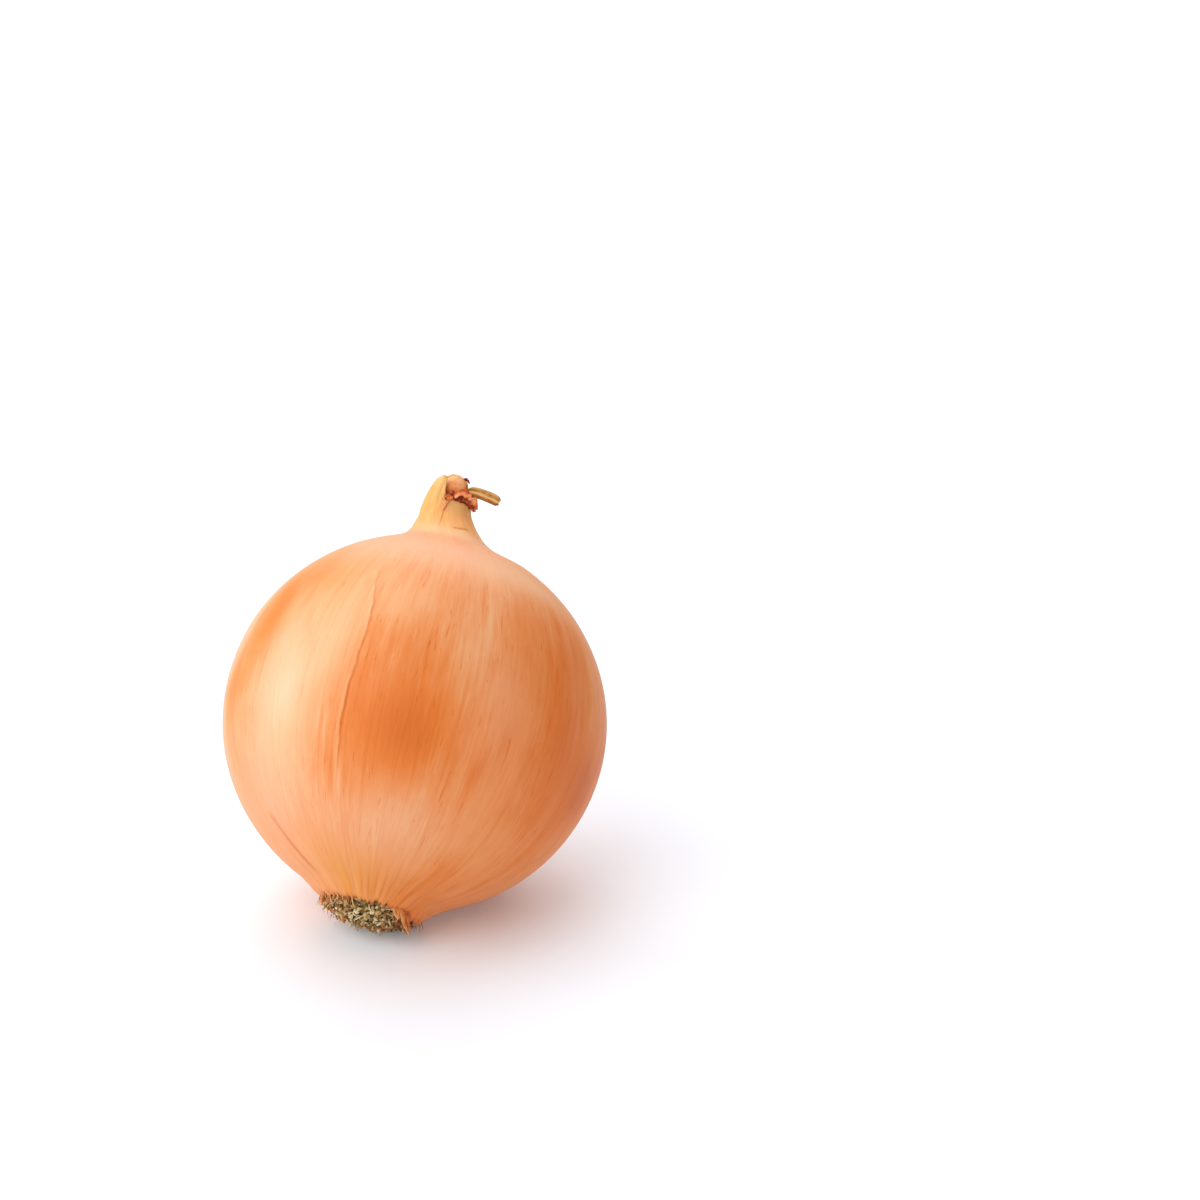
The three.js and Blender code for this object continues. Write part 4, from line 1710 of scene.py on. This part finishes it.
@dataclass
class NeckEnds:
    """What stands in the neck's torn mouth: shrivelled inner scales and one withered leaf."""

    plug_levels: tuple[Pair, ...] = (
        # radius and height
        (4.3, 41.8), (4.2, 43.2), (3.9, 44.8), (3.4, 46.0), (2.6, 46.8), (1.2, 46.7),
    )
    plug_foot_z: float = 41.8
    plug_height: float = 5.0
    plug_flare: float = 0.25  # how far the ruffles widen it, as a share of the radius

    def plug(self, material: Material) -> Object:
        """The shrivelled inner scales that close the neck, ruffled, and dark partly as painted shade.

        Args:
            material: Their finish.

        Returns:
            The piece.
        """
        angle = np.linspace(0, 2 * np.pi, 140, endpoint=False)
        levels = []
        for radius, z in curve_through(self.plug_levels, 34):
            share = (z - self.plug_foot_z) / self.plug_height
            wave = 0.28 * np.sin(9 * angle + 2.0) + 0.2 * np.sin(14 * angle + 5 * share)
            r = radius * (1 + self.plug_flare * share * wave)
            x = FORM.neck_middle(z) + r * np.cos(angle)
            y = FORM.neck_depth_share * r * np.sin(angle)
            levels.append(np.stack([x, y, z + 0.5 * share * wave], -1))
        rings = np.array(levels)
        vertices = with_ends(rings)
        vertices[:, 2] += 0.25 * roughness_at(vertices, 0.8, 3, 12.0)
        obj = own_piece("neck_plug", vertices, ring_faces(*rings.shape[:2]), material)
        set_attribute(obj, "tone", 0.22 + 0.3 * roughness_at(vertices, 0.7, 2, 5.0))
        return obj

    def curls(self) -> list[Sheet]:
        """Brittle ends of scales that curl out over the mouth's front edge."""
        return [
            Sheet(  # the long ruffled curl at the right
                spine=((-2.3, -4.1, 45.2), (-1.2, -3.9, 46.0), (-0.2, -3.3, 46.2),
                       (0.9, -2.6, 45.7), (1.7, -2.0, 44.9), (2.1, -1.5, 44.1)),
                across=((0.1, -0.7, -0.6), (0.2, -0.7, -0.6), (0.4, -0.7, -0.5),
                        (0.6, -0.6, -0.3), (0.7, -0.6, 0.0), (0.7, -0.6, 0.2)),
                half_width=(0.3, 0.75, 0.95, 0.95, 0.85, 0.45),
                section=((-1.0, -0.75), (-0.7, -0.1), (-0.2, 0.3), (0.35, 0.25), (0.8, -0.15),
                         (0.85, -0.6)),
                ruffle=0.28, ruffle_length=1.7, crumple=0.09,
                # darker where the edge rolls under and towards the far end: painted shade
                tone_along=(0.75, 0.8, 0.75, 0.65, 0.45, 0.4), tone_across=(-0.4, 0.1, 0.25, 0.0),
                seed=2.0, stations=96, lanes=30,
            ),
            # the fold under the curl is toned dark as painted shade
            Sheet(  # a dark fold under it
                spine=((-0.6, -3.2, 45.3), (0.4, -2.8, 45.0), (1.3, -2.2, 44.3),
                       (2.0, -1.7, 43.6)),
                across=((0.3, -0.6, -0.7), (0.4, -0.6, -0.6), (0.6, -0.6, -0.4),
                        (0.7, -0.6, -0.2)),
                half_width=(0.4, 0.6, 0.6, 0.35),
                section=((-1, 0), (-0.3, 0.35), (0.4, 0.2), (1, -0.4)),
                ruffle=0.18, ruffle_length=1.3, crumple=0.09,
                tone_along=(0.4, 0.3, 0.2, 0.35), seed=6.0, stations=60,
            ),
            Sheet(  # the small curl at the top of the crease
                spine=((-4.6, -3.5, 45.4), (-3.9, -4.0, 45.2), (-3.3, -4.4, 44.8),
                       (-2.5, -4.5, 44.9)),
                across=((0.0, -0.6, -0.8), (0.1, -0.6, -0.8), (0.2, -0.6, -0.8),
                        (0.2, -0.6, -0.8)),
                half_width=(0.25, 0.45, 0.5, 0.25),
                section=((-1, -0.5), (-0.3, 0.25), (0.4, 0.3), (1, -0.3)),
                ruffle=0.14, ruffle_length=0.9, crumple=0.1,
                tone_along=(0.5, 0.4, 0.5, 0.7), tone_across=(-0.2, 0.1, 0.1), seed=9.0,
                stations=48,
            ),
            Sheet(  # the crease's dried lip, running down from the curl
                spine=((-3.3, -4.5, 44.6), (-3.5, -4.65, 43.6), (-3.8, -4.8, 42.5),
                       (-4.1, -4.95, 41.4)),
                across=((1.0, 0.0, 0.0), (1.0, 0.1, 0.1), (1.0, 0.1, 0.1), (1.0, 0.1, 0.1)),
                half_width=(0.25, 0.17, 0.12, 0.05),
                section=((-1, 0), (-0.3, -0.4), (0.4, -0.3), (1, 0.2)),
                crumple=0.06, tone_along=(0.45, 0.65, 0.75, 0.8), seed=11.0, stations=48, lanes=12,
            ),
            Sheet(  # the purple-brown flake at the hood's right corner
                spine=((-1.9, 1.3, 50.3), (-1.1, 0.9, 50.3), (-0.4, 0.5, 49.6)),
                across=((0.1, -0.5, 0.9), (0.2, -0.5, 0.8), (0.4, -0.4, 0.8)),
                half_width=(0.15, 0.32, 0.15),
                section=((-1, 0), (0, 0.3), (1, 0)),
                ruffle=0.1, ruffle_length=0.8, crumple=0.12, tone_along=(0.15, 0.05, 0.1),
                seed=14.0, stations=40,
            ),
        ]

    def inner_scale(self) -> Sheet:
        """The rounded end of an inner scale that fills the hood above the ruffled ends."""
        return Sheet(
            spine=((-3.0, -1.3, 44.8), (-2.95, -1.5, 46.6), (-2.9, -1.15, 48.3),
                   (-2.95, -0.2, 49.65), (-2.95, 1.2, 50.3)),
            across=((1.0, 0.0, 0.0), (1.0, 0.05, 0.0), (1.0, 0.1, 0.0), (1.0, 0.1, 0.0),
                    (1.0, 0.1, 0.0)),
            half_width=(2.3, 2.45, 2.4, 2.15, 1.6),
            section=((-1.0, 0.6), (-0.8, 0.15), (-0.4, -0.12), (0.0, -0.2), (0.4, -0.12),
                     (0.8, 0.15), (1.0, 0.6)),
            thickness=0.25, crumple=0.10,
            # lighter on its top, darker at its foot and sides: painted light and painted shade
            tone_along=(0.2, 0.4, 0.62, 0.66, 0.45),
            tone_across=(-0.35, 0.0, 0.08, 0.02, 0.1, -0.05, -0.3),
            seed=17.0, stations=70, lanes=50,
        )

    def leaf(self) -> Sheet:
        """The withered leaf that hangs out to the right, ridged, with rolled margins."""
        return Sheet(
            spine=((-1.0, 2.5, 46.9), (-0.5, 1.9, 47.8), (0.6, 0.7, 48.0), (2.6, -0.45, 47.65),
                   (4.6, -0.9, 47.2), (5.8, -1.15, 46.8), (6.4, -1.25, 46.55)),
            across=((0.6, 0.2, 0.75), (0.35, -0.1, 0.9), (0.1, -0.3, 0.95), (0.1, -0.3, 0.95),
                    (0.15, -0.3, 0.95), (0.2, -0.3, 0.9), (0.25, -0.3, 0.9)),
            half_width=(0.6, 0.85, 0.98, 1.0, 1.02, 0.92, 0.45),
            section=((-0.8, -0.85), (-1.0, -0.5), (-0.85, -0.08), (-0.45, 0.22), (-0.1, 0.36),
                     (0.08, 0.2), (0.35, 0.02), (0.65, 0.14), (0.92, 0.1), (1.0, -0.2),
                     (0.85, -0.45)),
            thickness=0.2, crumple=0.07,
            tone_along=(0.4, 0.5, 0.55, 0.5, 0.5, 0.45, 0.4),
            # lighter along the ridge, darker on the lower band and margins: painted highlight and shade
            tone_across=(-0.3, -0.25, -0.15, 0.05, 0.5, 0.1, 0.05, 0.1, 0.05, -0.2, -0.3),
            seed=5.0, stations=90, lanes=44,
        )

    def build(self, scale_finish: Material, inner_finish: Material,
              leaf_finish: Material) -> None:
        """Make the neck's pieces.

        Args:
            scale_finish: Finish of the shrivelled scales.
            inner_finish: Finish of the inner scale.
            leaf_finish: Finish of the withered leaf.
        """
        finish_piece(self.plug(scale_finish), "neck_scales")
        for name, sheets, finish, slot, solid in (
            ("neck_curls", self.curls(), scale_finish, Slot.NECK, "neck_scales"),
            ("inner_scale", [self.inner_scale()], inner_finish, Slot.NECK, "neck_scales"),
            ("withered_leaf", [self.leaf()], leaf_finish, Slot.LEAF, "dry_leaf"),
        ):
            finish_piece(own_sheets(name, sheets, finish), solid)


# ---------------- the studio


@dataclass(frozen=True)
class SoftBox:
    """A rectangular soft light.

    Attributes:
        name: The light's name.
        place: Where it stands, in metres.
        size: Its width and height, in metres.
        power: Its power, in watts.
        colour: Its colour, sRGB.
        aim: The point that it faces, in metres.
    """

    name: str
    place: Triple
    size: Pair
    power: float
    colour: str
    aim: Triple = (0.0, 0.0, 0.04)

    def build(self) -> None:
        """Make the light."""
        light = bpy.data.lights.new(self.name, "AREA")
        light.shape = "RECTANGLE"
        light.size, light.size_y = self.size
        light.energy = self.power
        light.color = linear(self.colour)[:3]
        obj = bpy.data.objects.new(self.name, light)
        obj.location = self.place
        towards = Vector(self.aim) - Vector(self.place)
        obj.rotation_euler = towards.to_track_quat("-Z", "Y").to_euler()
        bpy.context.scene.collection.objects.link(obj)


@dataclass(frozen=True)
class Studio:
    """Pale table under five soft boxes, in a surround that is white on the left, amber on the right."""

    camera_elevation: float = 20.5
    lens: float = 105.0
    sensor: float = 36.0
    distance: float = 0.686
    frame_pixels: float = 1200.0
    globe_pixel: Pair = (415.2, 723.0)
    table_size: float = 6.0
    lit_side: Triple = (-0.80, 0.10, 0.60)
    surround_dim: float = 0.34
    surround_bright: float = 0.60
    dim_colour: str = "D27426"
    boxes: tuple[SoftBox, ...] = (
        SoftBox("key_box", (-0.82, 0.0, 0.25), (0.5, 0.7), 3.0, "FFFDFA"),
        SoftBox("fill_box", (-0.42, -0.62, 0.72), (0.7, 0.7), 3.45, "FFFEFC"),
        SoftBox("warm_box", (0.42, -0.70, 0.46), (0.6, 0.6), 0.75, "FFAC68"),
        SoftBox("top_box", (-0.1, 0.15, 0.95), (0.8, 0.8), 2.2, "FFFFFF"),
        SoftBox("backdrop_box", (0.0, 2.4, 1.7), (3.6, 1.8), 48.0, "FFFFFF", aim=(0.0, 2.0, 0.0)),
    )

    def build(self) -> None:
        """Make the table, the lights and the camera."""
        self.table()
        for box in self.boxes:
            box.build()
        self.surround()
        self.camera()
        bpy.context.scene.view_settings.view_transform = "Standard"

    def table(self) -> None:
        """Make the pale table that the onion lies on."""
        bpy.ops.mesh.primitive_plane_add(size=self.table_size, location=(0, 0, 0))
        floor = bpy.context.object
        floor.name = "table_top"
        floor.data.materials.append(SweepFinish().build())

    def surround(self) -> None:
        """Make the surround: bright and white up on the left, dim and amber low on the right."""
        world = bpy.data.worlds.new("white_surround")
        world.use_nodes = True
        tree = world.node_tree
        facing = add_node(tree, "ShaderNodeVectorMath", {
            0: add_node(tree, "ShaderNodeTexCoord").outputs["Generated"],
            1: Vector(self.lit_side).normalized(),
        }, operation="DOT_PRODUCT").outputs["Value"]
        level = remap(tree, facing, -0.8, 0.6, self.surround_dim, self.surround_bright)
        hue = ramp(tree, remap(tree, facing, -0.8, 0.2), ((0.0, self.dim_colour), (1.0, "FFFFFF")))
        back = tree.nodes["Background"]
        tree.links.new(hue, back.inputs["Color"])
        tree.links.new(level.outputs["Result"], back.inputs["Strength"])
        bpy.context.scene.world = world

    def camera(self) -> None:
        """Make the camera, which looks down on the onion with its globe at a set pixel."""
        data = bpy.data.cameras.new("camera")
        data.lens = self.lens
        data.sensor_width = self.sensor
        data.clip_start = 0.01
        obj = bpy.data.objects.new("camera", data)
        tilt = math.radians(self.camera_elevation)
        look = Vector((0, math.cos(tilt), -math.sin(tilt)))
        right = Vector((1, 0, 0))
        up = right.cross(look)
        focal = self.lens / self.sensor * self.frame_pixels
        half = self.frame_pixels / 2
        across = (self.globe_pixel[0] - half) / focal * self.distance
        above = -(self.globe_pixel[1] - half) / focal * self.distance
        globe = FORM.matrix() @ Vector((0, 0, 0))
        obj.location = globe - right * across - up * above - look * self.distance
        obj.rotation_euler = Euler((math.pi / 2 - tilt, 0, 0))
        bpy.context.scene.collection.objects.link(obj)
        bpy.context.scene.camera = obj


# ---------------- the onion


def main() -> None:
    """Dress the onion and light it."""
    logging.basicConfig(level=logging.INFO, format="%(name)s: %(message)s")
    Studio().build()
    Skin().build(OnionSkinFinish().build())
    roots = DryTissueFinish("dry_root_tissue", "34200F", "B69A58", "F9EDBE", grain=0.7,
                            tint="B5622A", tint_share=0.85)
    shreds = DryTissueFinish("frayed_skin", "A0542A", "DC9250", "F3C890", grain=0.5,
                             stretch=(1.0, 1.0, 0.25), roughness=0.65)
    RootCrown().build(roots.build(), shreds.build())
    scales = DryTissueFinish("shrivelled_scale", "6A2410", "D66C32", "FCB886", grain=0.9,
                             roughness=0.75)
    inner = DryTissueFinish("inner_scale_tissue", "A8481C", "EA9450", "F6BE84", grain=1.6,
                            stretch=(1.0, 1.0, 0.35), roughness=0.6)
    leaf = DryTissueFinish("withered_leaf_tissue", "74461E", "B98540", "DFBC7C", grain=0.5,
                           stretch=(0.3, 1.0, 1.0), roughness=0.6)
    NeckEnds().build(scales.build(), inner.build(), leaf.build())


if __name__ == "__main__":
    main()
